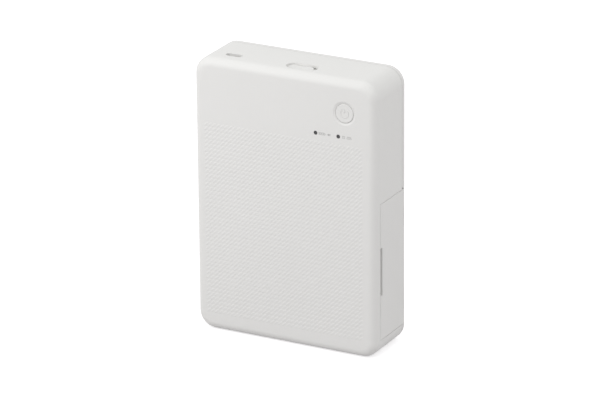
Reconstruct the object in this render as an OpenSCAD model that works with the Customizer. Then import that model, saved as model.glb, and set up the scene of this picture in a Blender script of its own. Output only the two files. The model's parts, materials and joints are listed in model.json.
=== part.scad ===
// Compact label and photo printer, standing on its short end as it is shown.
// Origin: middle of the base on the surface it stands on. X is its width, +Y its rear, Z its height.
// All sizes are in millimetres.

/* [Case] */
// Thickness of the moulded wall
wall = 1.6; // [1.4:0.1:1.6]
// Room between the outermost gears and the side wall
gear_room = 0.9; // [0.6:0.1:1.2]
// Room between the platen roller and the rear wall
platen_room = 0.25; // [0.2:0.05:0.6]
// Room between the label stack and the top wall
top_room = 1.7; // [1.7:0.1:3]
// Radius of the four large corners seen from the front
corner_r = 9; // [8:0.5:10]
// Radius of the soft edge round the front
front_r = 4.5; // [4:0.1:5]
// Radius of the edge round the rear
rear_r = 2; // [1.8:0.1:2.2]
// Gap in every seam between two case pieces
seam = 0.2; // [0.15:0.01:0.25]
// Depth of the rear pieces, from the rear face to the seam round their rim
rim_t = 4.05; // [3.9:0.05:4.1]
// Height of the seam above the rear case over the print line
split_up = 45; // [43:0.1:47]

/* [Side door] */
// Height of the lower edge of the cassette door
door_z0 = 9.4; // [9:0.1:11]
// Distance of the front edge of the door behind the front
door_edge = 4.85; // [4.6:0.05:5.4]
// Height of the lower end of the finger slit over the lower edge of the door
slit_up = 23.8; // [18:0.1:30]
// Length of the finger slit
slit_l = 25.5; // [20:0.1:32]
// Width of the finger slit
slit_w = 2; // [1.6:0.1:2.4]
// Depth of the finger slit
slit_d = 2; // [1.2:0.1:2.2]

/* [Hinges] */
// How far the knuckles lie inside the radius of the rear edge
knuckle_in = 0.1; // [0.05:0.05:0.3]
// Radius of the steel hinge pins
pin_r = 0.75; // [0.6:0.05:0.8]
// Gap round a pin in the piece that turns on it
pin_gap = 0.05; // [0.03:0.01:0.08]
// Gap round a pin in the piece that holds it
press_gap = 0.01; // [0.01:0.005:0.02]

/* [Buttons and ports] */
// Distance of the power button from the right side
button_side = 17.5; // [15:0.1:20]
// Distance of the power button below the top
button_top = 17.3; // [16:0.1:21]
// Radius of the power button cap
button_r = 4.95; // [4.5:0.05:5.2]
// Radius of the dished ring round the button
dish_r = 6.2; // [5.8:0.1:7]
// How far the button goes in
button_travel = 0.5; // [0.3:0.05:0.5]
// Distance of the right status window from the right side
led_side = 20.8; // [18:0.1:24]
// Distance between the two status windows
led_step = 12.6; // [11:0.1:14]
// Distance of the status windows below the top
led_top = 29.7; // [28:0.1:34]
// Radius of a status window
led_r = 1; // [0.8:0.05:1.2]
// Distance of the charging port from the left side
usb_side = 18.1; // [16:0.1:20]
// Width of the charging port shell
usb_w = 8.94; // [8.9:0.01:9]
// Thickness of the charging port shell
usb_t = 3.26; // [3.2:0.01:3.3]
// Gap between the port's shell and the hole in the top
usb_gap = 0.1; // [0.05:0.01:0.2]
// Left end of the release slot in the top, from the middle line
slot_x = -3; // [-4:0.1:-2]
// Length of the release slot
slot_l = 17; // [16:0.1:18]
// Width of the release slot
slot_w = 8.5; // [8:0.1:8.6]
// Distance of the middle of the release slot behind the front
slot_depth = 9.7; // [9.6:0.1:10]
// How far the release slider moves
slider_travel = 2.5; // [2:0.1:2.5]

/* [Paper path] */
// Width of a label sheet
paper_w = 72; // [68:1:76]
// Length of a label sheet
paper_l = 85; // [80:1:90]
// Thickness of a full stack of labels
stack_t = 3.8; // [3:0.1:4.2]
// Depth plane that the paper runs in, behind the middle
paper_y = 5.5; // [5.4:0.05:5.8]
// Height of the platen roller and the print line
platen_z = 37; // [36:0.1:39]
// Radius of the platen roller
platen_r = 4.5; // [4.3:0.05:4.7]
// Height of the feed roller over the print line
feed_up = 9.6; // [9.4:0.1:10]
// Radius of the steel feed roller
feed_r = 3; // [2.8:0.05:3.1]
// Radius of the pinch roller
pinch_r = 1.9; // [1.8:0.05:2]
// Radius of the pick-up tyres
tyre_r = 5; // [4.8:0.05:5]
// Distance of each pick-up tyre from the middle line
tyre_x = 16; // [14:0.5:18]
// Gap between a roller and the paper plane
nip = 0.1; // [0.05:0.01:0.15]

/* [Ink cassette] */
// Distance of each spool above or below the print line
spool_step = 16; // [15.8:0.1:16.5]
// Outer radius of the two cassette tubes
tube_r = 7.3; // [7:0.05:7.4]
// Thickness of a cassette tube
tube_t = 0.7; // [0.6:0.05:0.8]
// Room between the cassette tubes and the front wall
tube_room = 1.55; // [1.4:0.05:1.8]
// How far the cassette comes out against its detent
eject_travel = 2.5; // [2:0.1:2.5]

/* [Drive] */
// Tooth module of every gear
gear_m = 0.5; // [0.5]
// Face width of every gear
gear_t = 2.2; // [2:0.1:2.4]
// Extra distance between two meshing gears
mesh_gap = 0.05; // [0.04:0.01:0.06]
// Play between meshing teeth
backlash = 0.12; // [0.1:0.01:0.16]
// Radius of the steel roller shafts
shaft_r = 1.5; // [1.4:0.05:1.5]
// Gap round a shaft in its bearing
run_gap = 0.04; // [0.03:0.01:0.06]
// How far the print head draws back from the platen
head_travel = 2.4; // [2:0.1:2.4]

/* [Hidden] */
$fn = 48;
white = "whitesmoke";
steel = "silver";

// Heights that follow the print line
feed_z = platen_z + feed_up;
takeup_z = platen_z - spool_step;
supply_z = platen_z + spool_step;
split_z = platen_z + split_up;
sheet_z0 = feed_z + 10.9;
sheet_z1 = sheet_z0 + paper_l;

// Roller centres and the stack, in depth
feed_y = paper_y + nip + feed_r;
pinch_y = paper_y - nip - pinch_r;
platen_y = paper_y + nip + platen_r;
sheet_y0 = paper_y + nip;
sheet_y1 = sheet_y0 + stack_t;
pinch_shaft_r = 1;

// Chassis plates, either side of the paper
plate_t = 1.2;
side_room = paper_w / 2 + 2;
left_x = -side_room - 2.5;
right_x = side_room + 2;

// Gear layers, outer and inner x of each
layer1 = [left_x - 0.5 - gear_t, left_x - 0.5];
layer2 = [layer1[0] - 0.6 - gear_t, layer1[0] - 0.6];
layer3 = [layer2[0] - 0.4 - gear_t, layer2[0] - 0.4];

// Inner faces of the case, and its size round what it holds
in_x = gear_room - layer3[0];
in_y1 = platen_y + platen_r + platen_room;
in_y0 = -in_y1;
in_z1 = sheet_z1 + top_room;
body_w = 2 * (in_x + wall);
body_d = 2 * (in_y1 + wall);
body_h = in_z1 + wall;
front_y = -body_d / 2;
rear_y = body_d / 2;
rim_y = rear_y - rim_t;
door_y = front_y + door_edge;
slit_z0 = door_z0 + slit_up;
spool_y = in_y0 + tube_room + tube_r;

// Both hinge axes lie on the centre of the rear edge's radius
hinge_x = body_w / 2 - rear_r;
hinge_y = rear_y - rear_r;
knuckle_r = rear_r - knuckle_in;
cover_z = split_z + rear_r + 0.15;
lug_x = [in_x - 9.5, in_x - 2.5];
knuckles = [[door_z0 + 8.6, door_z0 + 18.6], [split_z - 19, split_z - 9]];

// Buttons and ports
button_x = body_w / 2 - button_side;
button_z = body_h - button_top;
led_x = [body_w / 2 - led_side - led_step, body_w / 2 - led_side];
led_z = body_h - led_top;
slot_y = front_y + slot_depth;
slot_end = slot_x + slot_l;
slider_z = [in_z1 - 1.3, in_z1 - 0.3];

// Board
board_y0 = in_y0 + 5.95;
board_y1 = board_y0 + 1;
board_z0 = split_z + 10;
board_z1 = in_z1 - 4.8;
board_x = in_x - 3.5;
usb_x = usb_side - body_w / 2;
usb_y = board_y1 + usb_t / 2 + 0.02;

// Screws that hold the rear case: distance from the middle line, height
screw_x = in_x - 5.3;
case_screw_at = [[-screw_x, wall + 4.4], [screw_x, wall + 4.4], [-screw_x, platen_z - 3], [screw_x, split_z - 4.5]];
board_screw_at = [for (z = [board_z0 + 8, board_z1 - 4.4], s = [-1, 1]) [s * (board_x - 2.5), z]];
screw_r = 0.95;
screw_gap = 0.06;
head_seat_y = rear_y - 1.8;
foot_at = [body_w / 2 - 15.1, 12, body_h - 12.8];
foot_r = 4;

// Rods between the plates
tie_at = [[in_y1 - 3.85, supply_z + 0.2], [in_y0 + 2.85, supply_z + 13.5], [in_y1 - 3.85, takeup_z + 4]];
tie_r = 1.3;

// Teeth
teeth_pinion = 14;
teeth_big = 40;
teeth_small = 16;
teeth_feed = 22;
teeth_idler = 28;
teeth_pickup = 30;
teeth_spindle = 30;
teeth_c_small = 14;
teeth_c_big = 32;

function reach(a, b) = gear_m * (a + b) / 2 + mesh_gap;
function along(p, d, a) = [p[0] + d * cos(a), p[1] + d * sin(a)];
function bearing(p, q) = atan2(q[1] - p[1], q[0] - p[0]);
// Turn that makes gear b mesh with gear a when a lies at bearing phi from b's mate
function meshed(phi, turn_a, na, nb) = phi + 180 - (0.5 - (phi - turn_a) * na / 360) * 360 / nb;

feed_at = [feed_y, feed_z];
reduction_at = along(feed_at, reach(teeth_small, teeth_feed), 120);
motor_at = along(reduction_at, reach(teeth_pinion, teeth_big), 115);
idler_at = along(motor_at, reach(teeth_pinion, teeth_idler), 95);
pickup_y = paper_y - nip - tyre_r;
pickup_a = acos((pickup_y - idler_at[0]) / reach(teeth_idler, teeth_pickup));
pickup_at = along(idler_at, reach(teeth_idler, teeth_pickup), pickup_a);
spindle_at = [spool_y, takeup_z];
ribbon_gear_at = along(spindle_at, reach(teeth_spindle, teeth_c_small), -5);
ribbon_motor_at = along(ribbon_gear_at, reach(teeth_c_big, teeth_pinion), 242);

feed_turn = 0;
small_turn = meshed(bearing(feed_at, reduction_at), feed_turn, teeth_feed, teeth_small);
pinion_turn = meshed(bearing(reduction_at, motor_at), small_turn, teeth_big, teeth_pinion);
idler_turn = meshed(bearing(motor_at, idler_at), pinion_turn, teeth_pinion, teeth_idler);
pickup_turn = meshed(bearing(idler_at, pickup_at), idler_turn, teeth_idler, teeth_pickup);
c_turn = meshed(bearing(spindle_at, ribbon_gear_at), 0, teeth_spindle, teeth_c_small);
ribbon_turn = meshed(bearing(ribbon_gear_at, ribbon_motor_at), c_turn, teeth_c_big, teeth_pinion);

motor_r = 5.5;
ribbon_motor_r = 4.3;
motor_shaft_r = 0.75;
gear_pin_r = 1;

// Cassette
cassette_x = [1 - side_room, right_x + 2];
grip_x = [cassette_x[1], cassette_x[1] + 2.4];
core_r = 2.6;
spool_end_r = 2;
supply_film_r = tube_r - tube_t - 1.2;
takeup_film_r = 3.7;
slit_angle = 50;
film_half = paper_w / 2 - 2;
film_t = 0.12;
film_y = paper_y - 0.65;
// Pivot of the lever that holds the cassette
lever_at = [spool_y + 15, supply_z + tube_r + 6.2];

// Print head: its back, its face and the slots that it slides in
head_x = paper_w / 2 - 1;
head_y = [paper_y - 13.5, paper_y - 1.6];
head_slot_y = [paper_y - 10.6 - head_travel, paper_y - 7.4];
head_slot_z = [platen_z - 1.9, platen_z + 1.9];
stay_y = [in_y0 + 1.25, in_y0 + 2.05];
cable_y = in_y0 + 0.65;

// Tray and the plate that presses on the stack
tray_y1 = sheet_y1 + 1.2;
presser_z = [cover_z + 4.35, sheet_z1 - 2.5];
presser_at = [for (x = [-20, 20], z = [presser_z[0] + 9.5, presser_z[1] - 12]) [x, z]];

// ---- Shapes shared by several pieces ----

module block(x0, x1, y0, y1, z0, z1) {
    translate([x0, y0, z0]) cube([x1 - x0, y1 - y0, z1 - z0]);
}

module rod_x(x0, x1, y, z, r) {
    translate([x0, y, z]) rotate([0, 90, 0]) cylinder(h = x1 - x0, r = r);
}

module rod_y(x, z, y0, y1, r) {
    translate([x, y1, z]) rotate([90, 0, 0]) cylinder(h = y1 - y0, r = r);
}

module rod_z(x, y, z0, z1, r) {
    translate([x, y, z0]) cylinder(h = z1 - z0, r = r);
}

// A profile drawn in depth and height, drawn out along the width
module profile_x(x0, x1) {
    translate([x0, 0, 0]) rotate([90, 0, 90]) linear_extrude(x1 - x0) children();
}

// A profile drawn in width and height, drawn out along the depth
module profile_y(y0, y1) {
    translate([0, y1, 0]) rotate([90, 0, 0]) linear_extrude(y1 - y0) children();
}

module corner_disc(rc, rf) {
    rotate([90, 0, 0]) rotate_extrude($fn = 32) intersection() {
        union() {
            translate([rc - rf, 0]) circle(rf, $fn = 32);
            translate([0, -rf]) square([rc - rf, 2 * rf]);
        }
        translate([0, -rf]) square([rc, 2 * rf]);
    }
}

// A box with large corners seen from the front and two softer edges
module rounded(w, d, h, rc, rf, rb) {
    hull() {
        for (sx = [-1, 1], sz = [-1, 1]) {
            translate([sx * (w / 2 - rc), -d / 2 + rf, h / 2 + sz * (h / 2 - rc)]) corner_disc(rc, rf);
            translate([sx * (w / 2 - rc), d / 2 - rb, h / 2 + sz * (h / 2 - rc)]) corner_disc(rc, rb);
        }
    }
}

module case_outside() {
    rounded(body_w, body_d, body_h, corner_r, front_r, rear_r);
}

module case_shell() {
    difference() {
        case_outside();
        translate([0, 0, wall]) rounded(body_w - 2 * wall, body_d - 2 * wall, body_h - 2 * wall,
            corner_r - wall, front_r - wall, rear_r - wall);
    }
}

// A slot with round ends in the top face, cut down from above
module top_slot(x, y, l, w, z0, z1) {
    block(x + w / 2, x + l - w / 2, y - w / 2, y + w / 2, z0, z1);
    for (e = [x + w / 2, x + l - w / 2]) rod_z(e, y, z0, z1, w / 2);
}

// Points of one involute tooth flank from root to tip, as radius and half angle
function gear_inv(r, rb) = r <= rb ? 0 :
    sqrt(pow(r / rb, 2) - 1) * 180 / PI - atan(sqrt(pow(r / rb, 2) - 1));
function half_angle(r, n) = let (rp = gear_m * n / 2, rb = rp * cos(20))
    (PI * gear_m / 2 - backlash) / (2 * rp) * 180 / PI + gear_inv(rp, rb) - gear_inv(r, rb);
function flank(n) = let (rp = gear_m * n / 2, rb = rp * cos(20), rr = rp - 1.05 * gear_m)
    [rr, max(rb, rr + 0.08), rp, rp + 0.8 * gear_m];

module gear_outline(n, turn) {
    r = flank(n);
    polygon([for (i = [0 : n - 1]) let (a = turn + i * 360 / n) each concat(
        [for (k = [0 : 3]) r[k] * [cos(a - half_angle(r[k], n)), sin(a - half_angle(r[k], n))]],
        [for (k = [3 : -1 : 0]) r[k] * [cos(a + half_angle(r[k], n)), sin(a + half_angle(r[k], n))]])]);
}

module gear(at, layer, n, turn) {
    translate([0, at[0], at[1]]) profile_x(layer[0], layer[1]) gear_outline(n, turn);
}

// A wound spring along Z from 0 to l: one tube of 6 sides, 8 rings to the turn
module coil(r, wire, turns, l) {
    rings = turns * 8;
    pts = [for (i = [0 : rings]) let (a = i * 45, z = wire / 2 + (l - wire) * i / rings)
        for (k = [0 : 5]) let (q = r + wire / 2 * cos(k * 60))
            [q * cos(a), q * sin(a), z + wire / 2 * sin(k * 60)]];
    sides = [for (i = [0 : rings - 1], k = [0 : 5]) let (a = i * 6 + k, b = i * 6 + (k + 1) % 6)
        each [[a, b + 6, b], [a, a + 6, b + 6]]];
    start = [for (k = [1 : 4]) [0, k, k + 1]];
    end = [for (k = [1 : 4]) [rings * 6, rings * 6 + k + 1, rings * 6 + k]];
    polyhedron(points = pts, faces = [for (f = concat(sides, start, end)) [f[2], f[1], f[0]]]);
}

// A pan head screw that goes in along -Y from the plane y
module screw_y(x, z, y, l, r, head_r, head_h) {
    difference() {
        union() {
            rod_y(x, z, y - l, y + 0.01, r);
            rod_y(x, z, y, y + head_h, head_r);
        }
        block(x - head_r * 0.6, x + head_r * 0.6, y + head_h * 0.5, y + head_h + 1, z - 0.2, z + 0.2);
        block(x - 0.2, x + 0.2, y + head_h * 0.5, y + head_h + 1, z - head_r * 0.6, z + head_r * 0.6);
    }
}

// ---- Case ----

module front_case() {
    color(white) difference() {
        union() {
            intersection() {
                case_shell();
                block(-body_w, body_w, front_y - 1, rim_y - seam / 2, -1, body_h + 1);
            }
            rod_y(button_x, button_z, in_y0 - 0.3, in_y0 + 1.65, dish_r + 0.8);
            for (x = led_x) rod_y(x, led_z, in_y0 - 0.3, in_y0 + 2.85, led_r + 1);
            // Rails that carry the release slider
            for (e = [[slot_x - 4, slot_end + 3, -1], [slot_x - 4, slot_x + 5.4, 1], [slot_end - 3.8, slot_end + 3, 1]]) {
                a = slot_y + e[2] * 5.55;
                b = slot_y + e[2] * 4.65;
                block(e[0], e[1], a - 0.5, a + 0.5, in_z1 - 2.3, in_z1 + 0.3);
                block(e[0], e[1], b - 0.5, b + 0.5, in_z1 - 2.3, slider_z[0] - 0.1);
            }
            block(slot_end + 5, slot_end + 6.2, slot_y - 2.25, slot_y + 2.75, in_z1 - 2.3, in_z1 + 0.3);
            // Ribs that hold the chassis plates
            for (x = [left_x - 1.1, left_x + plate_t + 0.1, right_x - 1.1, right_x + plate_t + 0.1])
                block(x, x + 1, in_y0 - 0.3, in_y0 + 1.55, platen_z + 32.5, case_screw_at[3][1] - 3);
            // Guard round the port
            block(usb_x - 6, usb_x + 6, usb_y + 2.6, usb_y + 3.6, in_z1 - 4.2, in_z1 + 0.3);
        }
        // Door opening
        block(in_x - 2, body_w, door_y - seam / 2, body_d, door_z0 - seam / 2, split_z + seam / 2);
        // Power button: hole, dish and inner pocket
        rod_y(button_x, button_z, front_y - 1, in_y0 + 5, button_r + 0.12);
        rod_y(button_x, button_z, in_y0, in_y0 + 1.85, dish_r);
        translate([button_x, front_y + 0.45, button_z]) rotate([90, 0, 0])
            cylinder(h = 0.5, r1 = button_r + 0.35, r2 = dish_r + 0.1);
        for (x = led_x) rod_y(x, led_z, front_y - 1, in_y0 + 5, led_r + 0.03);
        top_slot(slot_x, slot_y, slot_l, slot_w, in_z1 - 0.2, body_h + 1);
        top_slot(usb_x - usb_w / 2 - usb_gap, usb_y, usb_w + 2 * usb_gap, usb_t + 2 * usb_gap, in_z1 - 5.2, body_h + 1);
        // Label exit in the base
        block(-side_room, side_room, paper_y - 1.5, paper_y + 1.5, -1, wall + 1.4);
    }
}

// Four posts take the case screws and four carry the board: all stand on the inside of the front case
module case_posts() {
    color(white) difference() {
        union() {
            for (p = case_screw_at) if (p[1] < 10) {
                rod_y(p[0], p[1], paper_y - 1, head_seat_y - 2.85, 2.6);
                block(p[0] - 1, p[0] + 1, paper_y - 1, rim_y - 1.4, wall, p[1]);
            } else rod_y(p[0], p[1], in_y0, head_seat_y - 2.85, 2.6);
            for (p = board_screw_at) rod_y(p[0], p[1], in_y0, board_y0, 2.3);
        }
        case_shell();
        for (p = case_screw_at) rod_y(p[0], p[1], paper_y - 4, rim_y + 0.6, screw_r + screw_gap);
        for (p = board_screw_at) rod_y(p[0], p[1], board_y0 - 4, board_y0 + 1, screw_r + screw_gap);
    }
}

module rear_case() {
    color(white) difference() {
        union() {
            difference() {
                intersection() {
                    case_shell();
                    block(-body_w, body_w, rim_y + seam / 2, body_d, -1, split_z - seam / 2);
                }
                block(hinge_x - knuckle_r - 0.3, body_w, rim_y - 1.4, body_d, door_z0 - seam / 2, split_z + seam / 2);
            }
            for (k = knuckles) {
                block(hinge_x - knuckle_r - 0.7, hinge_x, hinge_y + 0.5, rear_y - 0.1, k[0], k[1]);
                rod_z(hinge_x, hinge_y, k[0], k[1], knuckle_r);
            }
            for (p = case_screw_at) rod_y(p[0], p[1], head_seat_y - 2.75, rear_y - 0.5, 2.9);
            for (s = [-1, 1]) mirror([s < 0 ? 1 : 0, 0, 0]) {
                block(lug_x[0], lug_x[1], hinge_y - 1.5, hinge_y + knuckle_r - 0.2, split_z - 4, cover_z);
                rod_x(lug_x[0], lug_x[1], hinge_y, cover_z, knuckle_r);
            }
            for (x = [-foot_at[0], foot_at[0]]) rod_y(x, foot_at[1], in_y1 - 0.8, in_y1 + 0.5, foot_r + 0.8);
        }
        rod_z(hinge_x, hinge_y, door_z0, split_z, pin_r + press_gap);
        for (p = case_screw_at) {
            rod_y(p[0], p[1], rim_y - 2.4, body_d, screw_r + screw_gap + 0.14);
            rod_y(p[0], p[1], head_seat_y, body_d, 2.1);
        }
        for (s = [-1, 1]) mirror([s < 0 ? 1 : 0, 0, 0])
            rod_x(lug_x[0] - 1, lug_x[1] + 1, hinge_y, cover_z, pin_r + press_gap);
        for (x = [-foot_at[0], foot_at[0]]) rod_y(x, foot_at[1], rear_y - 0.8, body_d, foot_r);
    }
}

module paper_cover() {
    color(white) difference() {
        union() {
            intersection() {
                case_shell();
                block(-body_w, body_w, rim_y + seam / 2, body_d, cover_z, body_h + 1);
            }
            intersection() {
                case_outside();
                rod_x(-body_w, body_w, hinge_y, cover_z, rear_r - 0.05);
            }
            // Catch for the release slider
            block(slot_x + 1.5, slot_x + 4, rim_y + 0.5, in_y1 + 0.5, in_z1 - 2.6, in_z1 + 0.5);
            block(slot_x + 3.5, slot_x + 5.8, rim_y + 0.5, in_y1 + 0.5, in_z1 - 2.6, in_z1 - 1.2);
            for (x = [-foot_at[0], foot_at[0]]) rod_y(x, foot_at[2], in_y1 - 0.8, in_y1 + 0.5, foot_r + 0.8);
            for (p = presser_at) rod_y(p[0], p[1], in_y1 - 1, in_y1 + 0.5, 1.2);
        }
        for (s = [-1, 1]) mirror([s < 0 ? 1 : 0, 0, 0]) {
            block(lug_x[0] - seam, lug_x[1] + seam, rim_y - 1.4, body_d, split_z, cover_z + knuckle_r + 0.25);
            rod_x(in_x - 11, in_x - 0.8, hinge_y, cover_z, pin_r + pin_gap);
        }
        for (x = [-foot_at[0], foot_at[0]]) rod_y(x, foot_at[2], rear_y - 0.8, body_d, foot_r);
    }
}

module cover_hinge_pins() {
    color(steel) for (s = [-1, 1]) mirror([s < 0 ? 1 : 0, 0, 0])
        rod_x(in_x - 10.9, in_x - 0.9, hinge_y, cover_z, pin_r);
}

module side_door() {
    color(white) difference() {
        union() {
            block(in_x, body_w / 2, door_y + seam / 2, hinge_y, door_z0 + seam / 2, split_z - seam / 2);
            rod_z(hinge_x, hinge_y, door_z0 + seam / 2, split_z - seam / 2, knuckle_r);
            // Thick strip behind the finger slit, and two stiffening ribs
            block(body_w / 2 - slit_d - 0.8, in_x + 0.5, door_y + 0.3, door_y + slit_w + 1.4, slit_z0 - 2, slit_z0 + slit_l + 2);
            for (z = [door_z0 + 5, split_z - 6]) block(in_x - 0.8, in_x + 0.5, door_y + 3.6, rim_y - 4.4, z, z + 1);
        }
        for (k = knuckles) rod_z(hinge_x, hinge_y, k[0] - seam, k[1] + seam, knuckle_r + 0.2);
        rod_z(hinge_x, hinge_y, door_z0 - 1, split_z + 1, pin_r + pin_gap);
        block(body_w / 2 - slit_d, body_w, door_y - 1, door_y + seam / 2 + slit_w, slit_z0, slit_z0 + slit_l);
    }
}

module door_hinge_pin() {
    color(steel) rod_z(hinge_x, hinge_y, door_z0 + 1, split_z - 1, pin_r);
}

module latch_slider() {
    color(white) difference() {
        union() {
            block(slot_x - 1, slot_end, slot_y - 4.85, slot_y + 4.85, slider_z[0], slider_z[1]);
            top_slot(slot_x + 0.1, slot_y, slot_l - slider_travel - 0.2, slot_w - 0.3, slider_z[1] - 0.1, body_h - 0.9);
            block(slot_x + 6, slot_x + 10, slot_y + 4.75, rim_y - 0.4, slider_z[0], slider_z[1]);
            block(slot_x + 6, slot_x + 10, rim_y - 0.9, rim_y + 1, in_z1 - 2.6, slider_z[1]);
        }
        // Scoop for the finger
        translate([slot_x + 6.4, 0, body_h + 18.7]) rotate([90, 0, 0])
            cylinder(h = body_d + 5, r = 20, center = true, $fn = 160);
    }
}

module latch_spring() {
    color(steel) translate([slot_end + 0.1, slot_y, slider_z[0] + 0.4]) rotate([0, 90, 0]) coil(0.55, 0.24, 7, 4.8);
}

module power_button() {
    color(white) translate([button_x, 0, button_z]) rotate([90, 0, 0]) rotate_extrude() polygon([
        [0, 3.22 + button_travel - board_y0], [1.8, 3.22 + button_travel - board_y0], [1.8, in_y1 - 1.25],
        [dish_r - 0.15, in_y1 - 1.25], [dish_r - 0.15, in_y1 - 0.35], [button_r, in_y1 - 0.35], [button_r, -front_y - 0.45], [button_r - 0.3, -front_y - 0.15],
        [0, -front_y - 0.3]]);
}

module led_windows() {
    color("dimgray") for (x = led_x) rod_y(x, led_z, front_y + 0.1, board_y0 - 0.8, led_r);
}

module rear_feet() {
    color("gray") for (x = [-foot_at[0], foot_at[0]])
        rod_y(x, foot_at[1], rear_y - 0.8, rear_y - 0.05, foot_r - 0.05);
}

module cover_feet() {
    color("gray") for (x = [-foot_at[0], foot_at[0]])
        rod_y(x, foot_at[2], rear_y - 0.8, rear_y - 0.05, foot_r - 0.05);
}

module case_screws() {
    color("dimgray") for (p = case_screw_at) screw_y(p[0], p[1], head_seat_y, 9, screw_r, 1.9, 1.2);
}

// ---- Chassis ----

module plate_outline() {
    top = pickup_at[1] + 6.65;
    polygon([[in_y0 + 1.85, wall + 1.4], [in_y1 - 1.45, wall + 1.4], [in_y1 - 1.45, split_z - 8],
        [rim_y - 0.3, split_z - 5.5], [rim_y - 0.3, top - 2.5], [rim_y - 2.4, top], [pickup_at[0] - 4.9, top],
        [board_y1 + 0.7, top - 3.5], [board_y1 + 0.7, top - 8], [cable_y, top - 15.5], [cable_y, wall + 4.4]]);
}

module shared_holes() {
    for (p = tie_at) translate(p) circle(screw_r + screw_gap);
    translate(feed_at) circle(2.25);
    translate([platen_y, platen_z]) circle(2.25);
    translate([pinch_y, feed_z]) circle(pinch_shaft_r + run_gap);
    translate(pickup_at) circle(shaft_r + run_gap);
    translate([head_slot_y[0], head_slot_z[0]])
        square([head_slot_y[1] - head_slot_y[0], head_slot_z[1] - head_slot_z[0]]);
}

module left_plate() {
    color(steel) profile_x(left_x, left_x + plate_t) difference() {
        plate_outline();
        shared_holes();
        translate(motor_at) circle(2);
        translate(ribbon_motor_at) circle(2);
        for (p = [reduction_at, idler_at, ribbon_gear_at]) translate(p) circle(gear_pin_r + press_gap);
        translate(spindle_at) circle(shaft_r + run_gap);
    }
}

module right_plate() {
    color(steel) profile_x(right_x, right_x + plate_t) difference() {
        plate_outline();
        shared_holes();
        for (z = [takeup_z, supply_z]) translate([spool_y, z]) circle(tube_r + 0.3);
        // Way for the film between the two tubes
        polygon([for (p = [[3, 0, -4], [5.7, 0, -4.8], [0, film_y + 0.85, 2], [0, film_y + 0.85, -2], [5.7, 0, 4.8],
            [3, 0, 4], [2.2, 0, 5.5], [0, film_y - 1.25, -1.3], [0, film_y - 1.25, 1.3], [2.2, 0, -5.5]])
            p[0] > 0 ? [spool_y + p[0], (p[2] < 0 ? supply_z : takeup_z) + p[2]] : [p[1], platen_z + p[2]]]);
        translate(lever_at) circle(gear_pin_r + press_gap);
    }
}

module tie_rods() {
    color(steel) for (p = tie_at) difference() {
        rod_x(left_x + plate_t, right_x, p[0], p[1], tie_r);
        rod_x(left_x, left_x + 7, p[0], p[1], screw_r - 0.1);
        rod_x(right_x - 6, right_x + 1, p[0], p[1], screw_r - 0.1);
    }
}

module inner_screws() {
    color("dimgray") {
        for (p = tie_at) {
            rod_x(left_x, left_x + 6, p[0], p[1], screw_r - 0.15);
            rod_x(left_x - 0.9, left_x, p[0], p[1], 1.8);
            rod_x(right_x + plate_t - 6, right_x + plate_t, p[0], p[1], screw_r - 0.15);
            rod_x(right_x + plate_t, right_x + plate_t + 0.7, p[0], p[1], 1.8);
        }
        for (p = board_screw_at) screw_y(p[0], p[1], board_y1, 4.6, screw_r, 1.8, 1);
    }
}

module paper_tray() {
    color("gainsboro") difference() {
        union() {
            block(-side_room, side_room, paper_y - 1.2, paper_y - 0.3, feed_z + 4.4, sheet_z1 - 0.1);
            for (s = [-1, 1]) mirror([s < 0 ? 1 : 0, 0, 0])
                block(paper_w / 2 + 0.6, side_room, paper_y - 1, tray_y1, sheet_z0 - 1, sheet_z1 - 0.1);
            block(1 - side_room, side_room - 1, tray_y1 - 0.7, tray_y1, sheet_z0 - 1, cover_z + 1.85);
            block(1 - side_room, side_room - 1, paper_y + 0.9, tray_y1 - 0.2, sheet_z0 - 1, sheet_z0 - 0.1);
            for (z = [sheet_z0 + 0.5, pickup_at[1] + 0.15]) {
                block(left_x + plate_t, 0.5 - side_room, paper_y - 1, paper_y + 3.5, z, z + 5);
                block(side_room - 0.5, right_x, paper_y - 1, paper_y + 3.5, z, z + 5);
            }
        }
        for (x = [-tyre_x, tyre_x])
            block(x - 4.6, x + 4.6, paper_y - 1.5, paper_y, pickup_at[1] - 4.6, pickup_at[1] + 4.6);
        block(slot_x - 0.5, slot_x + 10.5, paper_y - 1.5, tray_y1 + 0.4, in_z1 - 2.6, in_z1 - 1.2);
    }
}

module label_sheets() {
    color("white") block(-paper_w / 2, paper_w / 2, sheet_y0, sheet_y1, sheet_z0, sheet_z1);
}

module pressure_plate() {
    color("gainsboro") {
        block(2 - paper_w / 2, paper_w / 2 - 2, sheet_y1 + 0.3, sheet_y1 + 1.2, presser_z[0], presser_z[1]);
        for (p = presser_at) rod_y(p[0], p[1], sheet_y1 + 1.1, sheet_y1 + 2.2, 1.2);
    }
}

module pressure_springs() {
    color(steel) for (p = presser_at)
        translate([p[0], in_y1, p[1]]) rotate([90, 0, 0]) coil(1.8, 0.4, 5, in_y1 - sheet_y1 - 1.2);
}

module exit_guide() {
    color("gainsboro") {
        block(-side_room - 0.6, side_room + 0.6, paper_y - 1.2, paper_y - 0.5, wall + 0.4, platen_z - 6);
        block(-side_room - 0.6, side_room + 0.6, paper_y + 0.7, paper_y + 1.4, wall + 0.4, platen_z - 7);
        for (x = [[left_x + plate_t + 0.1, 0.6 - side_room], [side_room - 0.6, right_x - 0.1]])
            block(x[0], x[1], paper_y - 1, paper_y + 1.3, wall + 0.4, platen_z - 7);
    }
}

module feed_roller() {
    color(steel) {
        rod_x(layer2[0] - 0.2, right_x + 2, feed_y, feed_z, shaft_r);
        rod_x(1 - side_room, side_room, feed_y, feed_z, feed_r);
    }
}

module pinch_roller() {
    color("dimgray") {
        rod_x(left_x - 0.6, right_x + 1.7, pinch_y, feed_z, pinch_shaft_r);
        rod_x(-paper_w / 2, paper_w / 2, pinch_y, feed_z, pinch_r);
    }
}

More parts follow.
